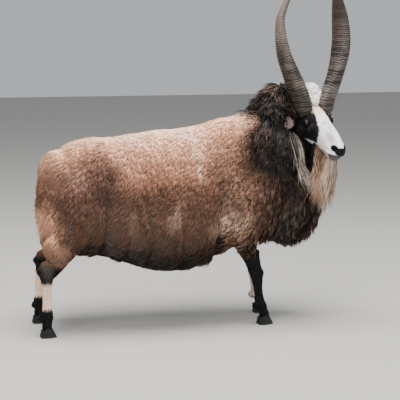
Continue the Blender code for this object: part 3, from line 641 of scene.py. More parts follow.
def with_lids(q):
    """Wrap the skin round the eyeball, with an almond opening, rims and creases."""
    away = q - EYE_PLACE
    if away.dot(EYE_AIM) <= 0 or away.length >= 0.036:
        return q
    level = Vector((1, 0, -0.22))
    forward = (level - EYE_AIM * level.dot(EYE_AIM)).normalized()
    over = forward.cross(EYE_AIM).normalized()
    over = over if over.z > 0 else -over
    shell, soft = EYE_RADIUS + 0.0014, 0.0016
    way = away.normalized()
    u, v = way.dot(forward) * shell / 0.0108, way.dot(over) * shell
    half_open, rim, crease = (0.0058, 0.0014, 0.0016) if v > 0 else (0.0052, 0.0009, 0.0010)
    v = v / half_open
    gap = (abs(u) ** 1.7 + abs(v) ** 1.7) ** (1 / 1.7)
    if gap < 1.0:
        return EYE_PLACE + way * (EYE_RADIUS - 0.0035)
    reach = shell + soft * math.log(1 + math.exp(min((away.length - shell) / soft, 30.0)))
    fade = 1 - grade(shell + 0.002, shell + 0.012, away.length)
    lid = rim * bell(gap, 1.12, 0.16) - crease * bell(abs(v), 1.95, 0.20)
    return EYE_PLACE + way * (reach + lid * fade)


def carve(p):
    """Move a point of the head's skin for the lids, nostrils, mouth and lips."""
    side = 1.0 if p.y >= 0 else -1.0
    q = with_lids(near_side(p))
    # Tear pit before the eye
    q.y -= 0.0020 * hill(q.x, q.z, 0.082, -0.034, 0.005, 0.004)
    # Nostril: a comma that runs up and back from the front of the muzzle
    inward = Vector((-0.45, -0.85, -0.1)).normalized()
    c, s = math.cos(NOSTRIL_LEAN), math.sin(NOSTRIL_LEAN)
    for place, long, high in NOSTRILS:
        dx, dz = p.x - place.x, p.z - place.z
        gap = math.hypot((dx * c - dz * s) / long, (dx * s + dz * c) / high)
        if gap < 1.7 and abs(p.y) > 0.004:
            q += inward * 0.0075 * (1 - grade(0.55, 1.05, gap))
            q -= inward * 0.0011 * bell(gap, 1.25, 0.22)
    # Groove from between the nostrils down to the lip
    if p.x > 0.212 and p.z > MOUTH_FRONT:
        q.x -= 0.0016 * bell(p.y, 0.0, 0.0012)
    # Mouth line with a lip above and below
    if p.x > MOUTH_BACK - 0.006:
        fade = grade(MOUTH_BACK - 0.004, MOUTH_BACK + 0.008, p.x)
        dz = p.z - mouth_level(p.x)
        depth = -0.0042 * bell(dz, 0.0, 0.0013)
        depth += 0.0014 * bell(dz, 0.0048, 0.0030)
        depth += 0.0012 * bell(dz, -0.0046, 0.0030)
        outward = Vector((max(p.x - 0.205, 0.0) * 30.0, min(abs(p.y) * 60, 1.0), 0.0))
        if outward.length > 0:
            q += outward.normalized() * depth * fade
        # The lower lip and chin fall back behind the upper lip
        chin = grade(0.0, -0.006, dz) * grade(0.185, 0.228, p.x)
        q.x -= 0.0065 * chin
        q.z += 0.0060 * chin * grade(-0.020, -0.034, dz)
    return Vector((q.x, max(q.y, 0.0) * side, q.z))


def head_form():
    """The head's skin with lids, nostrils, mouth and lips."""
    rings = []
    first, last = HEAD[0][0], MUZZLE_TIP
    for u in steps(0, 1, 96):
        x = first + (last - first) * (u + 0.10 * math.sin(math.pi * u))
        rings.append([head_point(min(x, last), a) for a in angles(92, 0.5)])
    bm = loft(rings)

    def from_mouth(p):
        return abs(p.z - mouth_level(p.x)) if p.x > MOUTH_BACK - 0.01 else 1.0

    # The mesh is made finer round eyes, mouth and nostrils, each time closer to them
    for distance, reaches in (
        (lambda p: (near_side(p) - EYE_PLACE).length, (0.030, 0.022)),
        (from_mouth, (0.008, 0.0035)),
        (lambda p: (near_side(p) - NOSTRIL_PLACE).length, (0.020, 0.014)),
    ):
        for reach in reaches:
            edges = [e for e in bm.edges if distance((e.verts[0].co + e.verts[1].co) / 2) < reach]
            bmesh.ops.subdivide_edges(bm, edges=edges, cuts=1, use_grid_fill=True)
            bmesh.ops.triangulate(bm, faces=[f for f in bm.faces if len(f.verts) > 4])
    for vert in bm.verts:
        vert.co = HEAD_FRAME @ carve(vert.co)
    return mesh_object("head_form", bm)


def mound_forms():
    """Rounded mounds under the wool between the horns."""
    made = []
    for x, y, high, r in MOUNDS:
        centre = HEAD_FRAME @ Vector((x, y, 0.0)) + Vector((0, 0, high * 0.45))
        made.append(mesh_object("mound", ball(centre, (r, r, r + high * 0.40), 24, 16)))
    return made


def ear_form(side):
    """Cupped leaf that bends down from its root, with a rolled edge."""
    # The left ear lies closer to the neck than the right one
    aim = mirror(EAR_AIM, side) if side < 0 else LEFT_EAR_AIM
    first = Vector((0.0, side, -0.25)).normalized()
    open_way = Vector((1.0, 0.25 * side, 0.15)).normalized()
    rings = []
    count = 46
    place = mirror(EAR_ROOT, side) - first * 0.012
    for t in steps(0, 1, count):
        bend = min(t * 2.4, 1.0)
        heading = (first * (1 - bend) + aim * bend).normalized()
        if t > 0:
            place = place + heading * (EAR_LENGTH / (count - 1))
        across = heading.cross(open_way).normalized()
        normal = across.cross(heading).normalized()
        width = EAR_WIDTH * (0.40 + 0.60 * math.sin(math.pi * min(t * 0.92 + 0.10, 1.0)) ** 0.8)
        if t > 0.62:
            width *= max(1.0 - ((t - 0.62) / 0.40) ** 2.0, 0.10)
        thick = EAR_THICK * (1.25 - 0.5 * t)
        cup = 0.30 * width * (1.0 - 0.5 * t)
        ring = []
        for a in angles(36):
            v = power(math.cos(a), 2.6)
            lift = cup * v * v + thick * 0.5 * power(math.sin(a), 2.2)
            # The cup deepens inside and its edge rolls forward
            if math.sin(a) > 0:
                lift -= 0.0012 * (1 - v * v)
            ring.append(HEAD_FRAME @ (place + across * v * width / 2 + normal * lift))
        rings.append(ring)
    return mesh_object("ear_form", loft(rings))


# Which part of the animal each face of the skin belongs to
BODY, LEG, SKULL, EAR = range(4)
region_cards = [bpy.data.materials.new("region_%d" % i) for i in range(4)]


def mark_region(obj, region):
    """Give all faces of a form their region."""
    obj.data.materials.clear()
    for card in region_cards:
        obj.data.materials.append(card)
    obj.data.polygons.foreach_set("material_index", [region] * len(obj.data.polygons))


def make_skin():
    """One closed skin over the whole animal, with the region of each face."""
    base = body_form()
    mark_region(base, BODY)
    joined = bpy.data.collections.new("joined")
    scene.collection.children.link(joined)
    forms = [(leg_form(kind, side), LEG) for kind in ("hind", "fore") for side in (1, -1)]
    forms += [(form, LEG) for form in dewclaw_forms()]
    forms += [(form, SKULL) for form in [head_form()] + mound_forms()]
    forms += [(ear_form(side), EAR) for side in (1, -1)]
    for form, region in forms:
        mark_region(form, region)
        scene.collection.objects.unlink(form)
        joined.objects.link(form)
    union = base.modifiers.new("union", "BOOLEAN")
    union.operation = "UNION"
    union.operand_type = "COLLECTION"
    union.collection = joined
    union.solver = "MANIFOLD"
    union.material_mode = "INDEX"
    settled(base)
    for form, _ in forms:
        bpy.data.objects.remove(form, do_unlink=True)
    bpy.data.collections.remove(joined)
    return base


skin = make_skin()
skin.name = "ram_skin"
skin_mesh = skin.data
skin_mesh.calc_loop_triangles()


# Coat
coat = []
BAKE_PATCH = 0.003


def scattered(count, wanted):
    """Places spread evenly over the skin, with normals and region, where wanted says so."""
    triangles = skin_mesh.loop_triangles
    corner = np.empty(len(triangles) * 3, dtype=np.int64)
    triangles.foreach_get("vertices", corner)
    corner = corner.reshape(-1, 3)
    owner = np.empty(len(triangles), dtype=np.int64)
    triangles.foreach_get("polygon_index", owner)
    region = np.empty(len(skin_mesh.polygons), dtype=np.int64)
    skin_mesh.polygons.foreach_get("material_index", region)
    places = coordinates(skin_mesh.vertices)
    normals = coordinates(skin_mesh.vertices, "normal")
    a, b, c = (places[corner[:, k]] for k in range(3))
    area = np.linalg.norm(np.cross(b - a, c - a), axis=1) / 2
    total = np.cumsum(area * wanted((a + b + c) / 3, region[owner]))
    marks = (np.arange(count) + rng.random(count)) / count * total[-1]
    pick = np.minimum(np.searchsorted(total, marks), len(corner) - 1)
    u, v = rng.random(count), rng.random(count)
    flip = u + v > 1
    u[flip], v[flip] = 1 - u[flip], 1 - v[flip]
    shares = (1 - u - v, u, v)

    def mixed(values):
        return sum(values[corner[pick, k]] * share[:, None] for k, share in enumerate(shares))

    return mixed(places), unit(mixed(normals)), region[owner][pick]


def varied(low, more, count):
    """A number from low to low + more for each tuft."""
    return low + more * rng.random(count)


def shaded(share, seeds, lock):
    """A tone for each tuft, of which this share is common to its lock."""
    return share * rng.random(seeds)[lock] + (1 - share) * rng.random(len(lock))


def along_skin(way, out):
    """Directions laid into the skin."""
    return unit(way - out * (way * out).sum(axis=1, keepdims=True))


def in_head(places):
    """Places in the head's own axes."""
    return (places - np.array(POLL)) @ AXES


def away_from(place, h):
    """Vectors to places in the head's axes from a place on its near side."""
    return columns(h[:, 0], np.abs(h[:, 1]), h[:, 2]) - np.array(place)


def unwrapped(roots, region):
    """Where each root lies on a flat unwrap of the skin, between 0 and 1."""
    x, y, z = roots.T
    along, across, up = in_head(roots).T

    def turned(a, b):
        return np.arctan2(a, b) / (2 * np.pi) + 0.5

    u = 0.02 + 0.58 * (x + 0.56) / 1.12
    v = 0.02 + 0.58 * turned(z - 0.45, y)
    on_leg = region == LEG
    axis_x = np.where(x > 0, 0.215 + FORE_LEAD * (y > 0), -0.509 + HIND_LEAD * (y > 0))
    axis_y = np.where(x > 0, FORE_Y, HIND_Y) * np.sign(y)
    which = (x > 0) * 2 + (y > 0)
    u = np.where(on_leg, 0.02 + 0.14 * which + 0.12 * turned(y - axis_y, x - axis_x), u)
    v = np.where(on_leg, 0.64 + 0.33 * np.clip(z / 0.30, 0, 1), v)
    on_head = region == SKULL
    u = np.where(on_head, 0.64 + 0.32 * (along + 0.07) / 0.32, u)
    v = np.where(on_head, 0.02 + 0.44 * turned(up + 0.05, across), v)
    on_ear = region == EAR
    ear_along = np.clip((along + 0.05) / 0.12, 0, 1)
    u = np.where(on_ear, 0.64 + 0.15 * (across > 0) + 0.14 * ear_along, u)
    v = np.where(on_ear, 0.50 + 0.22 * np.clip((up + 0.12) / 0.13, 0, 1), v)
    return np.clip(np.stack([u, v], axis=1), 0.0, 0.995)


def tufts(name, bed, spines, width, thick, shade, taper=1.0):
    """Closed tapered tufts along spines (count, points, 3), three sides each, as one piece."""
    roots, out, region = bed
    count, points, _ = spines.shape
    share = np.linspace(0, 1, points)
    heading = unit(np.gradient(spines, axis=1))
    flat = unit(np.cross(heading, out[:, None, :]))
    over = np.cross(flat, heading)
    belly = 0.70 + 0.55 * np.sin(np.pi * np.minimum(share * 1.1 + 0.1, 1))
    fall = (1 - share**2.2) ** taper * belly
    half = width[:, None] / 2 * fall
    rise = np.broadcast_to(thick, count)[:, None] * fall
    ring = points - 1
    stride = ring * 3 + 1
    verts = np.empty((count, stride, 3))
    faces = [(0, 2, 1)]
    for k in range(ring):
        side, up = flat[:, k] * half[:, k, None], over[:, k] * rise[:, k, None]
        verts[:, k * 3] = spines[:, k] + side - up * 0.3
        verts[:, k * 3 + 1] = spines[:, k] + up
        verts[:, k * 3 + 2] = spines[:, k] - side - up * 0.3
        for i in range(3):
            low, beside = k * 3 + i, k * 3 + (i + 1) % 3
            if k < ring - 1:
                faces += [(low, beside, beside + 3), (low, beside + 3, low + 3)]
            else:
                faces.append((low, beside, stride - 1))
    verts[:, -1] = spines[:, -1]
    faces = np.array(faces)
    # Turn the faces outwards if the first tuft is inside out
    tri = verts[0][faces]
    if (tri[:, 0] * np.cross(tri[:, 1], tri[:, 2])).sum() < 0:
        faces = faces[:, ::-1]
    corners = (faces[None] + (np.arange(count) * stride)[:, None, None]).reshape(-1)
    mesh = bpy.data.meshes.new(name)
    mesh.vertices.add(count * stride)
    mesh.vertices.foreach_set("co", verts.reshape(-1))
    mesh.loops.add(len(corners))
    mesh.loops.foreach_set("vertex_index", corners.astype(np.int32))
    mesh.polygons.add(count * len(faces))
    mesh.polygons.foreach_set("loop_start", np.arange(0, len(corners), 3, dtype=np.int32))
    mesh.update(calc_edges=True)
    level = np.append(np.repeat(share[:-1], 3), 1.0)
    for key, kind, field, values in (
        ("root", "FLOAT_VECTOR", "vector", np.repeat(roots, stride, axis=0)),
        ("tone", "FLOAT", "value", np.repeat(shade, stride)),
        ("reach", "FLOAT", "value", np.tile(level, count)),
    ):
        mesh.attributes.new(key, kind, "POINT").data.foreach_set(field, values.reshape(-1))
    # Each tuft's patch of the bake map lies at its root's place on the unwrapped skin
    across = np.append(np.tile([0.0, 0.5, 1.0], ring), 0.5)
    patch = np.stack([across, level], axis=1) * BAKE_PATCH
    home = np.repeat(unwrapped(roots, region), stride, axis=0)
    uv = (home + np.tile(patch, (count, 1)))[corners]
    mesh.uv_layers.new(name="OFBake").data.foreach_set("uv", uv.reshape(-1))
    coat.append(stored(name, mesh))


def tufts_in_parts(name, parts, bed, spines, width, thick, shade):
    """Tufts stored as several pieces from back to front."""
    for k, group in enumerate(np.array_split(np.argsort(bed[0][:, 0]), parts)):
        part = [values[group] for values in bed]
        piece = "%s_%d" % (name, k + 1)
        tufts(piece, part, spines[group], width[group], thick[group], shade[group])


def bent(bed, way, length, lift, droop, points, sway, wave=0.0, sunk=0.003):
    """Spines that leave the skin at an angle, lie over and may wave from side to side."""
    roots, out, _ = bed
    count, parts = len(roots), points - 1
    aside = np.cross(way, out)
    phase = rng.uniform(0, 6.28, count)
    lean = rng.normal(0, 1, count) * sway
    place = roots - out * sunk
    spines = [place]
    for k in range(parts):
        t = (k + 0.5) / parts
        rise = np.broadcast_to(lift * (1 - t) - droop * t, count)
        bend = lean + wave * np.sin(phase + t * 7.0)
        heading = unit(way + out * rise[:, None] + aside * bend[:, None])
        place = place + heading * (length / parts)[:, None]
        spines.append(place)
    return np.stack(spines, axis=1)


def gathered(spines, roots, pull):
    """Draw the tips of neighbouring tufts together into locks, one for each pull."""
    pick = rng.choice(len(roots), len(pull), replace=False)
    tree = KDTree(len(pick))
    for k, i in enumerate(pick):
        tree.insert(roots[i], k)
    tree.balance()
    lock = np.array([tree.find(p)[1] for p in roots])
    share = np.linspace(0, 1, spines.shape[1]) ** 1.6
    shift = spines[pick[lock]] - spines
    return spines + shift * share[None, :, None] * pull[lock][:, None, None], lock


def body_way(roots, out):
    """Lie of the fleece: down and back over the barrel, hanging on the neck."""
    x, y, _ = roots.T
    way = columns(-0.55, 0.30 * np.sign(y) * np.clip(out[:, 2], 0, 1), -1.0)
    front = smooth(0.18, 0.30, x)
    way[:, 0] = way[:, 0] * (1 - front) - 0.10 * front
    way[:, 0] -= 1.2 * smooth(0.2, 0.8, -out[:, 2]) * (1 - front)
    way[:, 0] += 0.25 * ripple(roots, 0.10, 21)
    way[:, 1] += 0.20 * ripple(roots, 0.08, 22)
    way = way + 0.10 * rng.normal(size=way.shape)
    return along_skin(way, out)


def past_ruff_line(p):
    """How far a place lies before the line where the long hair of the neck begins."""
    return p[:, 0] - (RUFF_LINE + 0.034 * smooth(0.655, 0.70, p[:, 2]))


def curly(p):
    """Where the wool is in short tight curls: shoulder and chest."""
    low = 1 - smooth(0.54, 0.62, p[:, 2] + 0.03 * (p[:, 0] < 0.2))
    return smooth(0.03, 0.09, p[:, 0]) * low


def grow_fleece():
    """Soft wool of the back, flanks, rump and thighs."""
    def wanted(p, region):
        front = smooth(-0.035, 0.0, past_ruff_line(p))
        return (region == BODY) * (1 - front) * (1 - curly(p))

    count, seeds = 54000, 4200
    bed = roots, out, _ = scattered(count, wanted)
    x, _, z = roots.T
    way = body_way(roots, out)
    low = 1 - smooth(0.34, 0.46, z)
    length = varied(0.032, 0.013, count) + 0.006 * low
    length = length * (1 - 0.50 * (1 - smooth(0.26, 0.36, z)) * (x < -0.36))
    spines = bent(bed, way, length, varied(0.38, 0.38, count), 0.06, 3, sway=0.22)
    pick = rng.random(seeds)
    spines, lock = gathered(spines, roots, 0.10 + 0.55 * pick * pick)
    shade = shaded(0.35, seeds, lock)
    # Painted shade in the folds of the fleece, over a tone that varies at random
    shade = shade - 22.0 * in_folds(roots) + 0.10 * ripple(roots, 0.030, 31)
    width, thick = varied(0.0040, 0.0022, count), varied(0.0015, 0.0005, count)
    tufts_in_parts("fleece", 4, bed, spines, width, thick, shade)


def grow_curls():
    """Short crimped locks of the shoulder and chest."""
    count, seeds = 12000, 2300
    bed = roots, out, _ = scattered(count, lambda p, region: (region == BODY) * curly(p))
    x = roots[:, 0]
    way = body_way(roots, out)
    length = varied(0.025, 0.008, count) + 0.016 * smooth(0.26, 0.34, x)
    under = smooth(0.2, 0.8, -out[:, 2]) * smooth(0.22, 0.28, x)
    length = length + 0.012 * under * rng.random(count)
    lift = varied(0.75, 0.30, count) + 0.9 * under
    spines = bent(bed, way, length, lift, 0.35 - 1.3 * under, 5, sway=0.12, wave=0.10)
    # Each lock turns in its own small curl
    spines, lock = gathered(spines, roots, varied(0.75, 0.0, seeds))
    phase = rng.uniform(0, 6.28, seeds)[lock]
    aside = np.cross(way, out)
    for k in range(1, 5):
        turn, sweep = phase + k * 1.7, 0.0038 * k / 4
        sideways = aside * (np.cos(turn) * sweep)[:, None]
        spines[:, k] += sideways + way * (np.sin(turn) * sweep)[:, None]
    # A tone shared by each lock, with painted shade in the folds
    shade = shaded(0.60, seeds, lock) - 16.0 * in_folds(roots)
    width = varied(0.0038, 0.0018, count)
    tufts_in_parts("curls", 2, bed, spines, width, np.full(count, 0.0018), shade)


def grow_ruff():
    """Long hanging hair of the neck, with a few pale strands."""
    def wanted(p, region):
        return (region == BODY) * smooth(-0.045, -0.01, past_ruff_line(p)) * (1 - curly(p))

    count, seeds = 8000, 900
    bed = roots, out, _ = scattered(count, wanted)
    x, y, z = roots.T
    way = body_way(roots, out)
    crest = smooth(0.70, 0.80, z)
    length = varied(0.055, 0.040, count) * (1 - 0.20 * crest)
    ear = np.linalg.norm(roots - np.array([0.350, -0.085, 0.690]), axis=1)
    length = length * (1 - 0.62 * (1 - smooth(0.045, 0.085, ear)))
    lift = varied(0.45, 0.30, count) + 0.30 * crest
    spines = bent(bed, way, length, lift, 0.05, 5, sway=0.18, wave=0.22)
    spines, lock = gathered(spines, roots, varied(0.45, 0.25, seeds))
    shade = shaded(0.5, seeds, lock)
    pale = (rng.random(count) < 0.008) * (z < 0.70) * (x < 0.33) * (np.abs(y) > 0.07)
    shade = np.where(pale, 1.3, shade)
    width = np.where(pale, 0.0018, varied(0.0042, 0.0020, count))
    spines[pale] += out[pale][:, None, :] * np.linspace(0, 0.010, 5)[None, :, None]
    tufts("ruff", bed, spines, width, 0.0016, shade)


def grow_bib():
    """Grey and white strands that sweep from behind the jaw to the foot of the beard."""
    count, points = 620, 9
    path = np.array(BIB)
    marks = np.linspace(0, 1, len(path))
    first = 0.55 * rng.random(count) ** 1.2
    last = np.minimum(first + rng.uniform(0.25, 0.55, count), 1.0)
    side = np.where(rng.random(count) < 0.6, -1.0, 1.0)
    away = rng.normal(size=(count, 3)) * np.array([0.009, 0.006, 0.008])
    fan = rng.normal(0, 0.016, count)
    phase = rng.uniform(0, 6.28, count)
    spines = []
    for t in np.linspace(0, 1, points):
        at = first + (last - first) * t
        place = np.stack([np.interp(at, marks, path[:, k]) for k in range(3)], axis=1)
        place += away * (0.30 + 1.2 * at)[:, None]
        place[:, 0] += fan * t * at + 0.0035 * np.sin(phase + 9 * t)
        place[:, 2] += fan * t * 0.5
        place[:, 1] = np.where(side > 0, 2 * BIB_MIDDLE - place[:, 1], place[:, 1])
        spines.append(place)
    spines = np.stack(spines, axis=1)
    # The strands are held off the skin, and their bends eased
    tree = BVHTree.FromObject(skin, bpy.context.evaluated_depsgraph_get())
    for spine in spines:
        for k, held in enumerate([0.014] + [0.034] * (points - 1)):
            near, face, _, _ = tree.find_nearest(spine[k])
            if (Vector(spine[k]) - near).dot(face) < held:
                spine[k] = np.array(near + face * held)
    for _ in range(3):
        spines[:, 1:-1] = 0.25 * spines[:, :-2] + 0.5 * spines[:, 1:-1] + 0.25 * spines[:, 2:]
    bed = spines[:, 0], unit(columns(0.6, 0.9 * side, 0.1)), np.full(count, BODY)
    shade = rng.random(count)
    tufts("bib", bed, spines, varied(0.0015, 0.0010, count), 0.0012, shade, taper=0.8)


def near_mouth_or_eye(h):
    """How much a place of the head is lid, lip or nostril, where the hair is least."""
    eye = away_from(EYE_PLACE, h)
    away = np.linalg.norm(eye, axis=1)
    facing = eye @ np.array(EYE_AIM) / np.maximum(away, 1e-6)
    lids = smooth(0.60, 0.70, facing) * (away < 0.022)
    nose = np.linalg.norm(away_from(NOSTRIL_PLACE, h), axis=1)
    bare = smooth(0.214, 0.219, h[:, 0]) * (h[:, 2] > MOUTH_FRONT)
    nostril = 1 - smooth(0.009, 0.013, nose) + bare
    level = MOUTH_FRONT - MOUTH_SLOPE * (MOUTH_END - h[:, 0])
    lip = (1 - smooth(0.0015, 0.003, np.abs(h[:, 2] - level))) * (h[:, 0] > MOUTH_BACK)
    return np.clip(lids + nostril + lip, 0, 1)


def grow_face():
    """Short hair that lies back over the face."""
    def wanted(p, region):
        h = in_head(p)
        dense = 0.55 + 0.45 * smooth(0.11, 0.17, h[:, 0])
        return (region == SKULL) * (1 - near_mouth_or_eye(h)) * dense

    count = 16500
    bed = roots, out, _ = scattered(count, wanted)
    h = in_head(roots)
    along, across, up = h.T
    back = columns(-1.0, 0.10 * np.sign(across), -0.25) @ AXES.T
    way = along_skin(back + 0.12 * rng.normal(size=back.shape), out)
    poll = (1 - smooth(0.020, 0.050, along)) * smooth(-0.03, 0.0, up)
    cheek = smooth(0.10, 0.02, along) * smooth(-0.05, -0.09, up)
    length = varied(0.0080, 0.003, count) + 0.010 * cheek + 0.004 * poll
    length = length * (1 - 0.60 * smooth(0.15, 0.21, along))
    from_eye = np.linalg.norm(away_from(EYE_PLACE, h), axis=1)
    length = length * (0.30 + 0.70 * smooth(0.016, 0.028, from_eye))
    lift = varied(0.22, 0.15, count)
    spines = bent(bed, way, length, lift, 0.02, 3, sway=0.12, sunk=0.001)
    width = varied(0.0024, 0.0010, count) + 0.001 * cheek
    width = width * (1 - 0.40 * smooth(0.13, 0.20, along))
    tufts("face_hair", bed, spines, width, 0.0007, rng.random(count))


def grow_ears():
    """Fine hair of the ears."""
    count = 2800
    bed = roots, out, _ = scattered(count, lambda p, region: (region == EAR) * 1.0)
    tipward = np.tile(np.array(EAR_AIM), (count, 1))
    tipward[:, 1] *= np.sign(in_head(roots)[:, 1])
    way = along_skin(tipward @ AXES.T + 0.15 * rng.normal(size=(count, 3)), out)
    length = varied(0.0085, 0.004, count)
    spines = bent(bed, way, length, 0.22, 0.02, 3, sway=0.12, sunk=0.0006)
    tufts("ear_hair", bed, spines, varied(0.0022, 0.0008, count), 0.0006, rng.random(count))


def grow_legs():
    """Short hair that lies down the legs."""
    count = 10500
    bed = roots, out, _ = scattered(count, lambda p, region: (region == LEG) * (p[:, 2] > 0.032))
    down = np.tile(np.array([0.0, 0.0, -1.0]), (count, 1))
    way = along_skin(down + 0.10 * rng.normal(size=(count, 3)), out)
    foot = 1 - smooth(0.045, 0.070, roots[:, 2])
    length = varied(0.0100, 0.003, count) - 0.004 * foot
    lift = varied(0.22, 0.12, count)
    spines = bent(bed, way, length, lift, 0.03, 3, sway=0.12, sunk=0.001)
    tufts("leg_hair", bed, spines, varied(0.0026, 0.0010, count), 0.0008, rng.random(count))


def grow_topknot():
    """White wool that stands between the horns."""
    def wanted(p, region):
        along, across, _ = in_head(p).T
        inside = (along < 0.036) * (np.abs(across) < 0.042) * (along > -0.055)
        return (region == SKULL) * inside * (p[:, 2] > POLL.z + 0.004)

    count = 2600
    bed = roots, out, _ = scattered(count, wanted)
    along, across, _ = in_head(roots).T
    way = columns(-0.5, 0.2 * np.sign(across), -0.2) @ AXES.T
    way = along_skin(way + 0.25 * rng.normal(size=way.shape), out)
    length = varied(0.018, 0.008, count) * (1 - 0.62 * smooth(-0.002, 0.028, along))
    spines = bent(bed, way, length, 1.1, 0.25, 4, sway=0.3, wave=0.3)
    spines, _ = gathered(spines, roots, np.full(170, 0.5))
    tufts("topknot", bed, spines, varied(0.0042, 0.0016, count), 0.0016, rng.random(count))


def grow_poll():
    """Dark locks that lap over the outer foot of the horns."""
    ahead, up = TURN.to_3x3() @ Vector((1, 0, 0)), Vector((0, 0, 1))
    spines, outs = [], []
    for side, count, start in ((1, 320, 140), (-1, 520, 75)):
        base = HEAD_FRAME @ mirror(HORN_BASE, side)
        outer = TURN.to_3x3() @ Vector((0, side, 0))
        for _ in range(count):
            a = math.radians(rng.uniform(start, 262))
            radial = (ahead * math.cos(a) + outer * math.sin(a)).normalized()
            root = base + ahead * 0.040 * math.cos(a) + outer * 0.034 * math.sin(a)
            root += up * rng.uniform(-0.036, -0.006) + radial * rng.uniform(-0.004, 0.005)
            length = rng.uniform(0.030, 0.058) * (1.0 - 0.45 * (a < 1.9))
            aside = up.cross(radial) * rng.normal(0, 0.35)
            phase = rng.uniform(0, 6.28)
            place, spine = root, [root]
            for k in range(4):
                t = (k + 0.5) / 4
                heading = up * (1.0 - 0.7 * t) + radial * (0.16 + 0.8 * t) + aside
                heading += up.cross(radial) * 0.5 * math.sin(phase + 5 * t)
                place = place + heading.normalized() * length / 4
                spine.append(place)
            spines.append([tuple(p) for p in spine])
            outs.append(tuple(radial))
    spines, outs = np.array(spines), np.array(outs)
    count = len(spines)
    spines, _ = gathered(spines, spines[:, 0], np.full(90, 0.6))
    bed = spines[:, 0], outs, np.full(count, SKULL)
    tufts("poll", bed, spines, varied(0.0042, 0.0018, count), 0.0016, rng.random(count))


def grow_beard():
    """Long wavy locks from chin, throat and the edge of the jaw."""
    def wanted(p, region):
        along, _, up = in_head(p).T
        chin = smooth(0.095, 0.125, along) * (1 - smooth(0.205, 0.215, along))
        chin = chin * smooth(-0.064, -0.074, up)
        jaw = smooth(-0.01, 0.02, along) * (1 - smooth(0.09, 0.12, along))
        jaw = jaw * smooth(-0.080, -0.095, up)
        return (region == SKULL) * (chin + 0.40 * jaw)

    count, seeds, points = 3400, 150, 8
    bed = roots, out, _ = scattered(count, wanted)
    along = in_head(roots)[:, 0]
    down = np.tile(np.array([-0.03, 0.02, -1.0]), (count, 1))
    down = unit(down + 0.10 * rng.normal(size=(count, 3)))
    places = [0.0, 0.06, 0.10, 0.14, 0.17, 0.20, 0.215]
    longest = np.interp(along, places, [0.03, 0.045, 0.12, 0.190, 0.195, 0.175, 0.13])
    length = longest * varied(0.50, 0.62, count)
    lift = varied(0.20, 0.20, count)
    spines = bent(bed, down, length, lift, 0.0, points, sway=0.08, wave=0.10)
    # The tips of the chin's locks draw together to a point below the muzzle
    core = roots[along > 0.13].mean(axis=0) + np.array([-0.010, 0.0, 0.0])
    share = np.linspace(0, 1, points)[None, :] * smooth(0.08, 0.13, along)[:, None]
    draw = (core - roots) * np.array([1.0, 1.0, 0.0]) * 0.84
    spines = spines + draw[:, None, :] * share[:, :, None]
    spines, lock = gathered(spines, roots, varied(0.30, 0.45, seeds))
    # Each lock waves in its own way, more towards its tip
    turn = rng.uniform(0, 6.28, (seeds, 2))[lock]
    pitch = rng.uniform(36.0, 60.0, seeds)[lock]
    fall = spines[:, :1, 2] - spines[:, :, 2]
    swing = 0.0060 * smooth(0.0, 0.07, fall)
    for k in range(2):
        spines[:, :, k] += swing * np.sin(turn[:, k : k + 1] + fall * pitch[:, None])
    width = varied(0.0020, 0.0016, count)
    tufts("beard", bed, spines, width, 0.0012, shaded(0.45, seeds, lock), taper=0.9)


grow_fleece()
grow_curls()
grow_ruff()
grow_bib()
grow_face()
grow_ears()
grow_legs()
grow_topknot()
grow_poll()
grow_beard()


# Horns, eyes and hooves
def horn(name, side):
    """Horn with close growth rings that turns as it climbs."""
    base = HEAD_FRAME @ mirror(HORN_BASE, side)
    ahead = (TURN.to_3x3() @ Vector((1, 0, 0))).normalized()
    out = (TURN.to_3x3() @ Vector((0, side, 0))).normalized()

    def axis(t):
        """Middle of the horn, which runs on straight below its base."""
        height = t * HORN_LINE[-1][0]
        if height < 0:
            return base + Vector((0, 0, height)) + out * 0.75 * height
        sideways, forward = spline(HORN_LINE, height)
        return base + Vector((0, 0, height)) + out * sideways + ahead * forward

    made = np.random.default_rng(5 + side)
    slim = 0.90 if side < 0 else 1.0
    # Heights of the rings, a little uneven and closer towards the tip
    marks = [-0.10]
    while marks[-1] < 1.0:
        marks.append(marks[-1] + (0.0185 - 0.006 * max(marks[-1], 0)) * made.uniform(0.75, 1.25))
    marks = np.array(marks)
    rings = []
    for t in steps(-0.070, 1.0, 300):
        along, across, turn = spline(HORN_GIRTH, max(t, 0.0))
        # The foot rounds in under the edge of the brow
        foot = slim * math.sqrt(max(1.0 - (min(t - 0.012, 0.0) / 0.085) ** 2, 0.02))
        along, across = along * foot, across * foot
        turn = math.radians(turn)
        rise = (axis(t + 0.004) - axis(t - 0.004)).normalized()
        long = ahead * math.cos(turn) - out * math.sin(turn)
        long = (long - rise * long.dot(rise)).normalized()
        wide = rise.cross(long)
        fade = min(1.0, max((1.0 - t) * 5.0, 0.0)) * (1 - 0.60 * grade(0.40, 0.75, t))
        ring = []
        for a in angles(40):
            # The rings dip a little on the front edge and wander round the horn
            u = t + 0.0035 * math.cos(2 * a) + 0.0020 * math.sin(3 * a + t * 40)
            j = min(max(int(np.searchsorted(marks, u)), 1), len(marks) - 1)
            share = (u - marks[j - 1]) / (marks[j] - marks[j - 1])
            ridge = (0.0040 * (1 - abs(2 * share - 1) ** 2.2) - 0.0024) * fade
            ridge += 0.0005 * math.sin(u * 900 + a) * fade
            keel = 0.0012 * math.cos(a * 9 + t * 3) * 0.4 * fade
            reach, side_reach = along + ridge + keel, across + ridge + keel
            ring.append(axis(t) + long * reach * math.cos(a) + wide * side_reach * math.sin(a))
        rings.append(ring)
    return mesh_object(name, loft(rings))


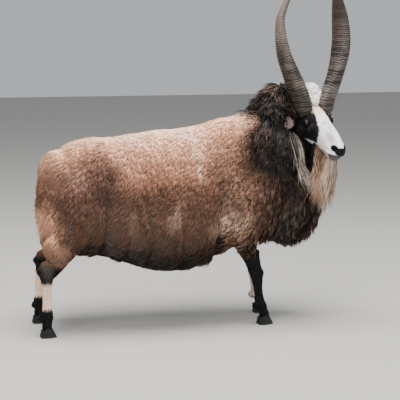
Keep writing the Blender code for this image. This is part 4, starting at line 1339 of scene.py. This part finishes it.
def eye(name, side):
    """Eyeball with a raised cornea."""
    bm = ball((0, 0, 0), (1, 1, 1), 40, 28)
    for vert in bm.verts:
        cap = max(vert.co.z - 0.80, 0.0) / 0.20
        vert.co = vert.co.normalized() * (EYE_RADIUS - 0.0002) * (1.0 + 0.035 * cap)
    aim = HEAD_AXES @ mirror(EYE_AIM, side)
    turn = aim.to_track_quat("Z", "Y").to_matrix().to_4x4()
    place = Matrix.Translation(HEAD_FRAME @ mirror(EYE_PLACE, side)) @ turn
    bmesh.ops.transform(bm, matrix=place, verts=bm.verts)
    return mesh_object(name, bm)


def claw(name, x, y, inner):
    """One claw of a hoof: a flat sole, a sloping toe, a low heel and a straight inner wall."""
    rings = []
    for k, share in enumerate([0.0, 0.0, 0.04] + steps(0.08, 0.96, 22) + [1.0, 1.0]):
        length = HOOF_LENGTH + 0.002 - 0.023 * share
        width = CLAW_WIDTH * (1.0 - 0.12 * share)
        heel = x - 0.0245 + 0.0045 * share
        shrink = 0.94 if k == 0 else 0.80 if k == 26 else 1.0
        growth = 0.0016 * math.sin(share * 46)
        ring = []
        for a in angles(36):
            along = 0.5 + (0.5 * shrink + growth) * power(math.cos(a), 2.2)
            # The wall leans in towards the toe's tip; the side at the cleft stays straight
            toe = 1.0 - 0.60 * max(along - 0.35, 0.0) ** 1.6 / 0.65**1.6
            across = 0.5 + (0.5 * shrink + growth) * power(math.sin(a), 2.4)
            lateral = CLEFT / 2 + across * width * toe
            rise = share * (0.023 + 0.0135 * along)
            ring.append((heel + along * length, y + lateral * inner, rise))
        rings.append(ring)
    return mesh_object(name, loft(rings))


horns = [horn("horn_left_ringed", 1), horn("horn_right_ringed", -1)]
eyes = [eye("eye_left_ball", 1), eye("eye_right_ball", -1)]
claws = []
for kind, (rows, y, lead) in LEGS.items():
    for word, side in (("left", 1), ("right", -1)):
        for inner, letter in ((1, "a"), (-1, "b")):
            foot = "%s_%s_%s" % (kind, word, letter)
            piece = claw("claw_" + foot, rows[-1][1] + lead * (side > 0), y * side, inner)
            claws.append((piece, "hoof_" + foot))


# Materials
class Number:
    """A shader number; Python arithmetic on it adds the Math nodes that work it out."""

    def __init__(self, finish, socket):
        self.finish = finish
        self.socket = socket

    def math(self, operation, *values):
        node = self.finish.node("ShaderNodeMath", {"operation": operation}, *values)
        return Number(self.finish, node.outputs[0])

    def __add__(self, other):
        return self.math("ADD", self, other)

    def __sub__(self, other):
        return self.math("SUBTRACT", self, other)

    def __rsub__(self, other):
        return self.math("SUBTRACT", other, self)

    def __mul__(self, other):
        return self.math("MULTIPLY", self, other)

    __radd__, __rmul__ = __add__, __mul__

    def size(self):
        return self.math("ABSOLUTE", self)

    def least(self, other):
        return self.math("MINIMUM", self, other)

    def most(self, other):
        return self.math("MAXIMUM", self, other)

    def step(self, low, high):
        """Rise smoothly from 0 at low to 1 at high, which may be the smaller."""
        settings = {"interpolation_type": "SMOOTHSTEP"}
        node = self.finish.node("ShaderNodeMapRange", settings, self, low, high, 0.0, 1.0)
        return Number(self.finish, node.outputs[0])


def tint(red, green, blue):
    """Screen colour from 0 to 255 as a linear colour."""
    return tuple((v / 255) ** 2.2 for v in (red, green, blue)) + (1.0,)


class Finish:
    """One procedural material, painted layer over layer."""

    def __init__(self, name, roughness, specular=0.3, sheen=0.0):
        self.material = bpy.data.materials.new(name)
        self.material.use_nodes = True
        self.tree = self.material.node_tree
        self.shader = self.tree.nodes["Principled BSDF"]
        self.colour = None
        self.set("Roughness", roughness)
        self.set("Specular IOR Level", specular)
        self.set("Sheen Weight", sheen)
        self.set("Sheen Roughness", 0.4)

    def set(self, socket, value):
        self.feed(self.shader.inputs[socket], value)

    def node(self, kind, settings, *values):
        made = self.tree.nodes.new(kind)
        stops = settings.pop("stops", [])
        for key, value in settings.items():
            setattr(made, key, value)
        for _ in stops[2:]:
            made.color_ramp.elements.new(0.5)
        for k, (at, color) in enumerate(stops):
            made.color_ramp.elements[k].position = at
            made.color_ramp.elements[k].color = color
        for place, value in enumerate(values):
            self.feed(made.inputs[place], value)
        return made

    def feed(self, socket, value):
        if isinstance(value, Number):
            value = value.socket
        if isinstance(value, bpy.types.NodeSocket):
            self.tree.links.new(value, socket)
        elif value is not None:
            socket.default_value = value

    def here(self):
        """Place on the model, about the middle of the chest line."""
        spot = self.node("ShaderNodeTexCoord", {}).outputs["Object"]
        return self.vector("ADD", spot, tuple(CENTRE))

    def kept(self, name, output="Fac"):
        """A number or place stored in the mesh."""
        return self.node("ShaderNodeAttribute", {"attribute_name": name}).outputs[output]

    def vector(self, operation, *values):
        return self.node("ShaderNodeVectorMath", {"operation": operation}, *values).outputs[0]

    def split(self, vector):
        made = self.node("ShaderNodeSeparateXYZ", {}, vector)
        return [Number(self, made.outputs[k]) for k in range(3)]

    def seen_from(self, spot, place, turn):
        """The spot in axes that stand at a place and are turned."""
        made = self.node("ShaderNodeMapping", {"vector_type": "TEXTURE"}, spot)
        made.inputs["Location"].default_value = place
        made.inputs["Rotation"].default_value = turn.to_euler()
        return made.outputs[0]

    def noise(self, vector, scale, detail=2.0):
        made = self.node("ShaderNodeTexNoise", {}, vector, None, scale, detail, 0.5)
        return Number(self, made.outputs[0])

    def grain(self, spot, stretch, detail):
        """Noise stretched by a scale for each axis."""
        return self.noise(self.vector("MULTIPLY", spot, stretch), 1.0, detail)

    def blend(self, mask, under, over):
        made = self.node("ShaderNodeMix", {"data_type": "RGBA"})
        for place, value in ((0, mask), (6, under), (7, over)):
            self.feed(made.inputs[place], value)
        return made.outputs[2]

    def patch(self, spot, centre, radii, soft=0.3):
        """A soft-edged ellipsoid of 1 in a field of 0."""
        away = self.vector("SUBTRACT", spot, centre)
        away = self.vector("MULTIPLY", away, tuple(1 / r for r in radii))
        node = self.node("ShaderNodeVectorMath", {"operation": "LENGTH"}, away)
        return Number(self, node.outputs["Value"]).step(1 + soft, 1 - soft)

    def paint(self, mask, *color):
        """Lay a screen colour over what is painted, where the mask says so."""
        self.colour = self.blend(mask, self.colour, tint(*color))

    def dab(self, spot, *rows):
        """Paint soft patches: centre, radii, softness, strength and colour."""
        for centre, radii, soft, strength, color in rows:
            self.paint(self.patch(spot, centre, radii, soft) * strength, *color)

    def bump(self, height, distance, strength):
        made = self.node("ShaderNodeBump", {})
        for socket, value in (("Strength", strength), ("Distance", distance), ("Height", height)):
            self.feed(made.inputs[socket], value)
        self.set("Normal", made.outputs[0])

    def done(self):
        self.set("Base Color", self.colour)
        return self.material


def paint_ram(f, spot):
    """Colours of the coat at a place: brown fleece, black neck, white cannons."""
    ragged = f.noise(spot, 26.0, 3.0)
    streak = f.noise(f.vector("MULTIPLY", spot, (1.0, 1.0, 0.28)), 48.0, 3.0)
    broad = f.noise(spot, 7.0)
    x, y, z = f.split(spot)
    wobble = (ragged - 0.5) * 0.06 + (broad - 0.5) * 0.08

    # Fleece: pale on the back, pinkish brown on the sides, near black below; partly its own
    # colour, partly painted light on the back and painted shade below
    lift = (x + wobble * 0.9).step(-0.01, 0.10) * z.step(0.53, 0.60) * -0.062
    lift = lift + x.step(-0.36, -0.46) * 0.022
    height = z + wobble + (streak - 0.5) * 0.08 + lift
    low, high = FLEECE[0][0], FLEECE[-1][0]
    stops = [((at - low) / (high - low), tint(*color)) for at, color in FLEECE]
    share = (height - low) * (1 / (high - low))
    f.colour = f.node("ShaderNodeValToRGB", {"stops": stops}, share).outputs[0]
    warm = x.step(-0.28, -0.22) * x.step(0.02, -0.04) * z.step(0.50, 0.54) * z.step(0.64, 0.60)
    f.paint(warm * 0.3, 212, 150, 120)
    # Mauve loin, rump and haunch; the darker patches are partly painted shade where the haunch
    # swells
    f.dab(
        spot,
        ((-0.322, 0.0, 0.520), (0.058, 0.4, 0.085), 0.6, 0.85, (88, 62, 55)),
        ((-0.43, 0.0, 0.530), (0.06, 0.4, 0.045), 0.6, 0.4, (140, 108, 100)),
        ((-0.42, 0.0, 0.420), (0.060, 0.4, 0.070), 0.6, 0.5, (92, 64, 51)),
    )
    edge = x + wobble * 0.4
    brow = z + wobble * 0.8 + (streak - 0.5) * 0.10
    breech = edge.step(-0.445, -0.490) * brow.step(0.475, 0.405)
    breech = breech + edge.step(-0.41, -0.45) * z.step(0.35, 0.30)
    f.paint(breech.least(1.0) * (z.step(0.27, 0.38) * 0.62 + 0.22), 238, 180, 146)
    f.paint(x.step(0.02, 0.09) * z.step(0.68, 0.58) * 0.40, 138, 103, 84)
    # Cream band before the shoulder, and paler places of the flank
    slope = x - 0.006 + (z - 0.61) * 0.12
    slope = slope + (ragged - 0.5) * 0.045 + (broad - 0.5) * 0.03
    cream = slope.size().step(0.024, 0.006) * z.step(0.50, 0.62)
    f.paint(cream * streak.step(0.30, 0.55) * 0.75, 244, 212, 186)
    veil = f.patch(spot, (-0.073, -0.2, 0.420), (0.017, 0.14, 0.040), 0.45)
    f.paint(veil * streak.step(0.32, 0.62) * 0.55, 196, 158, 136)
    f.dab(
        spot,
        ((-0.100, -0.2, 0.395), (0.012, 0.14, 0.032), 0.5, 0.45, (170, 138, 120)),
        ((-0.220, -0.2, 0.400), (0.013, 0.14, 0.040), 0.5, 0.35, (160, 128, 112)),
    )
    elbow = f.patch(spot, (0.112, -0.18, 0.372), (0.056, 0.12, 0.036), 0.85)
    f.paint(elbow * ragged.step(0.32, 0.54), 214, 180, 154)
    # Painted shade in the groin before the thigh and at the girth behind the elbow
    f.dab(
        spot,
        ((-0.33, 0.0, 0.285), (0.05, 0.4, 0.035), 0.5, 0.8, (40, 26, 19)),
        ((0.075, 0.0, 0.285), (0.030, 0.4, 0.060), 0.5, 0.85, (22, 15, 12)),
    )

    # Dark neck, mane and chest, ragged where they meet the brown
    edge = x + wobble * 0.5 + (streak - 0.5) * 0.05 - z.step(0.655, 0.70) * 0.045
    upper, lower = edge.step(0.115, 0.200), edge.step(0.105, 0.315)
    dark = lower + (upper - lower) * z.step(0.50, 0.58)
    chest = x.step(0.12, 0.20) * z.step(0.33, 0.27)
    hair = f.blend(streak.step(0.42, 0.62), tint(15, 11, 11), tint(42, 30, 25))
    f.colour = f.blend(dark.most(chest), f.colour, hair)
    # Painted highlight on the lit top of the mane
    crest = z.step(0.755, 0.800) * x.step(0.36, 0.30)
    f.paint(crest * streak.step(0.40, 0.62) * 0.75, 112, 92, 84)
    rust = x.step(0.19, 0.22) * x.step(0.27, 0.235) * z.step(0.62, 0.70)
    f.paint(rust * streak.step(0.40, 0.60) * 0.45, 96, 68, 58)

    # Legs: near ones dark above, pale cannons behind and on the far fore leg
    leg = z.step(0.262, 0.225) * (x.step(-0.44, -0.46) + x.step(0.10, 0.14)).least(1.0)
    f.paint(leg, 15, 13, 14)
    f.dab(spot, ((-0.508, -0.138, 0.226), (0.018, 0.02, 0.028), 0.6, 0.40, (104, 97, 96)))
    hind = x.step(-0.40, -0.44)
    cannon = hind * (z + wobble * 0.15).step(0.188, 0.174) * z.step(0.092, 0.104)
    f.paint(cannon, 252, 218, 196)
    fore = x.step(0.15, 0.18) * y.step(0.02, 0.05) * (z + wobble * 0.2).step(0.176, 0.160)
    f.paint(fore * z.step(0.060, 0.070), 228, 212, 202)


def paint_head(f, spot):
    """Colours of the face: black cheeks, white blaze and muzzle, dark nostrils and lips."""
    h = f.seen_from(spot, POLL, HEAD_FRAME)
    ragged = f.noise(spot, 60.0, 3.0) - 0.5
    x, y, z = f.split(h)
    out = y.size()
    # Blaze down the nose, widening into a white muzzle
    blaze = (out + ragged * 0.006 - (x * 0.168 + 0.0100)).step(0.0020, -0.0020)
    blaze = blaze * z.step(-0.034, -0.022)
    muzzle = (x + ragged * 0.010 + (z + 0.030).most(0.0) * -0.10).step(0.128, 0.136)
    poll = x.step(0.040, 0.020) * out.step(0.044, 0.036) * z.step(-0.030, -0.010)
    # Strip of white that runs back over the jaw below the black cheek
    strip = (z + 0.080 + (x - 0.10) * -0.35 + ragged * 0.006).size().step(0.011, 0.007)
    strip = strip * x.step(0.060, 0.095)
    white = blaze.most(muzzle).most(poll).most(strip)
    f.colour = f.blend(white, tint(14, 11, 12), tint(246, 242, 240))
    chin = x.step(0.105, 0.125) * z.step(-0.078, -0.086) * x.step(0.200, 0.185)
    f.paint(chin * 0.85, 120, 92, 78)
    # Cream forehead, a speck on the nose, and painted shade in grey beside the nostril and down
    # the middle of the white nose
    f.dab(
        h,
        ((0.030, 0.0, 0.012), (0.030, 0.030, 0.02), 0.3, 0.70, (232, 208, 184)),
        ((0.111, -0.0128, 0.009), (0.006, 0.003, 0.008), 0.3, 0.6, (96, 92, 100)),
        ((0.178, -0.018, -0.004), (0.028, 0.010, 0.02), 0.7, 0.75, (146, 138, 146)),
        ((0.135, 0.0, 0.012), (0.060, 0.008, 0.012), 0.8, 0.35, (190, 184, 188)),
    )
    # Dark nostrils, nose edge and mouth line
    for side in (1, -1):
        place = (0.2120, 0.0195 * side, -0.0185)
        f.paint(f.patch(h, place, (0.0165, 0.013, 0.0100), 0.2), 12, 11, 13)
    f.paint(f.patch(h, (0.2290, 0.0, -0.0215), (0.0135, 0.030, 0.0140), 0.15), 20, 19, 23)
    level = z - MOUTH_FRONT + (MOUTH_END - x) * MOUTH_SLOPE
    lip = level.size().step(0.0036, 0.0016) * x.step(MOUTH_BACK - 0.004, MOUTH_BACK + 0.008)
    f.paint(lip, 44, 37, 42)
    f.paint(level.step(0.001, -0.001) * x.step(0.188, 0.206), 98, 94, 95)
    # Dark skin of the lids
    for side in (1, -1):
        place = (0.060, 0.0560 * side, -0.020)
        f.paint(f.patch(h, place, (0.017, 0.010, 0.0120)), 11, 9, 10)


def paint_ear(f, spot):
    """Pale grey-brown back of the near ear, partly painted light where the sky lights it, and a
    dark brown cup.
    """
    _, y, z = f.split(f.seen_from(spot, POLL, HEAD_FRAME))
    ragged = f.noise(spot, 70.0, 3.0)
    pale = z.step(-0.022, -0.034) * z.step(-0.080, -0.066) * y.step(-0.062, -0.070)
    f.colour = f.blend(pale * ragged.step(0.30, 0.50), tint(34, 24, 22), tint(176, 156, 148))


def paint_beard(f, spot, tone, reach):
    """Cream and pinkish locks on the chin, dark hair under the jaw."""
    x = f.split(f.seen_from(spot, POLL, HEAD_FRAME))[0]
    f.colour = f.blend(tone.step(0.15, 0.60), tint(112, 84, 67), tint(186, 150, 124))
    f.paint(tone.step(0.60, 0.90), 222, 198, 178)
    f.paint(x.step(0.184, 0.210) * 0.45, 230, 214, 198)
    f.paint(reach.step(0.45, 0.0) * x.step(0.200, 0.170) * 0.75, 78, 60, 50)
    f.paint(x.step(0.128, 0.108), 12, 11, 14)


def skin_finish(name, paint, shade):
    """Skin under the coat with the coat's own markings, darkened by a painted shade where it lies
    between the tufts.
    """
    f = Finish(name, 0.85, 0.2)
    spot = f.here()
    paint(f, spot)
    f.colour = f.vector("MULTIPLY", f.colour, (shade, shade, shade))
    f.bump(f.noise(spot, 420.0), 0.0012, 0.5)
    return f.done()


def coat_finish(kind, name, roughness, sheen, shade_at_root, light_at_tip):
    """Tufts take their colour from their root's place, with painted shade at the root and painted
    light towards the tip.
    """
    f = Finish(name, roughness, 0.15, sheen)
    spot = f.kept("root", "Vector")
    tone, reach = Number(f, f.kept("tone")), Number(f, f.kept("reach"))
    if kind == "beard":
        paint_beard(f, spot, tone, reach)
    elif kind == "bib":
        f.colour = f.blend(tone.step(0.2, 1.0), tint(56, 50, 47), tint(184, 172, 160))
        f.paint(reach.step(0.40, 0.05) * 0.65, 40, 35, 33)
    elif kind == "poll":
        f.colour = f.blend(tone.step(0.6, 0.9), tint(15, 11, 11), tint(70, 52, 44))
    else:
        {"ear": paint_ear, "face": paint_head, "topknot": paint_head}.get(kind, paint_ram)(f, spot)
    darkest, more = 0.70, 0.58
    if kind == "curls":
        f.paint(tone.step(0.45, 0.85) * 0.16, 168, 132, 108)
        darkest, more = 0.46, 0.95
    elif kind == "ruff":
        f.paint(tone.step(0.60, 0.85) * 0.40, 56, 44, 39)
        f.paint(tone.step(1.05, 1.15), 112, 98, 82)
    light = shade_at_root + (light_at_tip - shade_at_root) * reach.step(0.0, 0.90)
    light = light * (darkest + more * tone.most(0.0))
    scaled = f.node("ShaderNodeVectorMath", {"operation": "SCALE"}, f.colour)
    f.feed(scaled.inputs["Scale"], light)
    f.colour = scaled.outputs[0]
    return f.done()


def horn_finish(name, low_color, ring_color, tip_color):
    """Ridged horn: growth rings, lengthwise grain and darker tips."""
    f = Finish(name, 0.55, 0.4)
    spot = f.here()
    grain = f.grain(spot, (220.0, 220.0, 30.0), 3.0)
    band = f.grain(spot, (6.0, 6.0, 150.0), 3.0)
    f.colour = f.blend(band.step(0.38, 0.62), tint(*ring_color), tint(*low_color))
    f.paint(f.noise(spot, 14.0, 3.0).step(0.50, 0.72) * 0.40, 150, 138, 130)
    f.paint(f.split(spot)[2].step(0.86, 1.06) * 0.75, *tip_color)
    f.paint(grain.step(0.50, 0.75) * 0.30, 34, 28, 26)
    f.bump(grain + band * 0.8, 0.0010, 0.7)
    return f.done()


def eye_finish(name, side):
    """Amber brown iris with a level slit pupil in a dark ball."""
    f = Finish(name, 0.08, 0.5)
    f.set("Coat Weight", 0.4)
    f.set("Coat Roughness", 0.02)
    aim = HEAD_AXES @ mirror(EYE_AIM, side)
    level = aim.cross(Vector((0, 0, 1))).normalized()
    turn = Matrix((level, aim.cross(level), aim)).transposed()
    local = f.seen_from(f.here(), HEAD_FRAME @ mirror(EYE_PLACE, side), turn)
    front = (0, 0, EYE_RADIUS)
    ring = f.patch(local, front, (0.0092, 0.0092, 0.02), 0.06)
    core = f.patch(local, front, (0.0062, 0.0062, 0.02), 0.35)
    pupil = f.patch(local, front, (0.0058, 0.0022, 0.02), 0.12)
    fibre = f.noise(local, 900.0)
    f.colour = f.blend(fibre.step(0.35, 0.65), tint(24, 15, 10), tint(46, 29, 17))
    f.paint(core * 0.4, 58, 36, 20)
    f.colour = f.blend(ring, tint(16, 12, 11), f.colour)
    f.paint(pupil, 4, 4, 5)
    return f.done()


def hoof_finish(name):
    """Dark horn with growth lines and a little dried mud on the sole's edge."""
    f = Finish(name, 0.55, 0.35)
    spot = f.here()
    lines = f.grain(spot, (20.0, 20.0, 420.0), 2.0)
    f.colour = f.blend(lines.step(0.35, 0.65), tint(10, 9, 9), tint(24, 22, 21))
    f.paint(f.noise(spot, 60.0, 3.0).step(0.55, 0.75) * 0.20, 48, 42, 38)
    f.paint(f.split(spot)[2].step(0.006, 0.001) * 0.3, 80, 70, 62)
    f.bump(lines, 0.0006, 0.6)
    return f.done()


def finish_piece(obj, record_slot, material, *nodes):
    """Move a finished piece into the part's frame and hide the solid parts it stands for; its
    record slot is not used.
    """
    if material is not None:
        obj.data.materials.append(material)
    obj.data.transform(Matrix.Translation(-CENTRE))
    obj.data.polygons.foreach_set("use_smooth", np.ones(len(obj.data.polygons), dtype=bool))
    obj.data.update()
    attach(obj, "root")
    if nodes:
        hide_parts(*nodes)


for region, look in (
    (BODY, skin_finish("skin_under_fleece", paint_ram, 0.70)),
    (LEG, skin_finish("skin_of_legs", paint_ram, 0.70)),
    (SKULL, skin_finish("skin_of_face", paint_head, 0.9)),
    (EAR, skin_finish("skin_of_ears", paint_ear, 0.9)),
):
    skin.data.materials[region] = look
finish_piece(
    skin, "torso", None, "torso", "neck", "head", "tail", "ear_left", "ear_right",
    "leg_fore_left", "leg_fore_right", "leg_hind_left", "leg_hind_right",
)
# Coats: slot, material, roughness, sheen, and the painted light at the root (shade) and at the tip
# (highlight)
looks = {}
for kind, record_slot, *settings in (
    ("fleece", "torso", "fleece_wool", 0.85, 0.15, 0.58, 1.18),
    ("curls", "torso", "curled_wool", 0.85, 0.15, 0.12, 1.50),
    ("ruff", "neck", "ruff_strands", 0.7, 0.15, 0.50, 1.25),
    ("bib", "neck", "bib_strands", 0.7, 0.15, 0.78, 1.12),
    ("face", "head", "face_coat", 0.7, 0.05, 0.78, 1.12),
    ("ear", "ear_left", "ear_coat", 0.8, 0.05, 0.78, 1.12),
    ("leg", "leg_fore_left", "leg_coat", 0.7, 0.05, 0.78, 1.12),
    ("topknot", "head", "topknot_wool", 0.9, 0.15, 0.78, 1.12),
    ("poll", "head", "poll_locks", 0.8, 0.05, 0.78, 1.12),
    ("beard", "head", "beard_strands", 0.7, 0.15, 0.78, 1.12),
):
    looks[kind] = (record_slot, coat_finish(kind, *settings))
for piece in coat:
    finish_piece(piece, *looks[piece.name.split("_")[0]])
near_horn = horn_finish("horn_olive", (66, 58, 49), (26, 22, 18), (118, 104, 96))
far_horn = horn_finish("horn_dark", (84, 72, 68), (28, 23, 22), (58, 45, 39))
finish_piece(horns[0], "horn_left", far_horn, "horn_left")
finish_piece(horns[1], "horn_right", near_horn, "horn_right")
finish_piece(eyes[0], "eye_left", eye_finish("eye_of_left", 1), "eye_left")
finish_piece(eyes[1], "eye_right", eye_finish("eye_of_right", -1), "eye_right")
hoof_look = hoof_finish("hoof_horn")
for piece, node in claws:
    finish_piece(piece, node, hoof_look, node)


# Floor, light and camera
def aimed(name, data, place, target):
    """An object for a light or camera at a place, turned to its target."""
    obj = stored(name, data)
    obj.location = place
    obj.rotation_euler = (Vector(target) - Vector(place)).to_track_quat("-Z", "Y").to_euler()
    return obj


def studio():
    """Pale floor, soft lights and the camera at the photograph's angle."""
    bm = bmesh.new()
    bmesh.ops.create_grid(bm, x_segments=1, y_segments=1, size=14.0)
    floor = mesh_object("floor", bm)
    f = Finish("pale_floor", 0.9, 0.1)
    f.colour = tint(176, 174, 170)
    floor.data.materials.append(f.done())
    for name, place, size, energy, color in (
        ("sky", (-0.2, -0.6, 4.4), 3.6, 420.0, (1.0, 0.985, 0.96)),
        ("key", (-2.0, -3.6, 3.2), 2.6, 150.0, (1.0, 0.97, 0.94)),
        ("fill", (3.6, -2.8, 1.8), 3.0, 70.0, (0.95, 0.97, 1.0)),
    ):
        light = bpy.data.lights.new(name, "AREA")
        light.shape = "DISK"
        light.size = size
        light.energy = energy
        light.color = color
        aimed(name, light, place, (0, 0, 0.5))
    world = bpy.data.worlds.new("studio")
    world.use_nodes = True
    back = world.node_tree.nodes["Background"]
    back.inputs["Color"].default_value = (0.80, 0.83, 0.87, 1.0)
    back.inputs["Strength"].default_value = 0.62
    scene.world = world
    camera = bpy.data.cameras.new("camera")
    camera.lens = 132.3
    camera.sensor_width = 36.0
    scene.camera = aimed("camera", camera, (-1.2655, -4.8216, 1.0566), (0.0286, 0.0080, 0.425))


studio()

for card in region_cards:
    bpy.data.materials.remove(card)
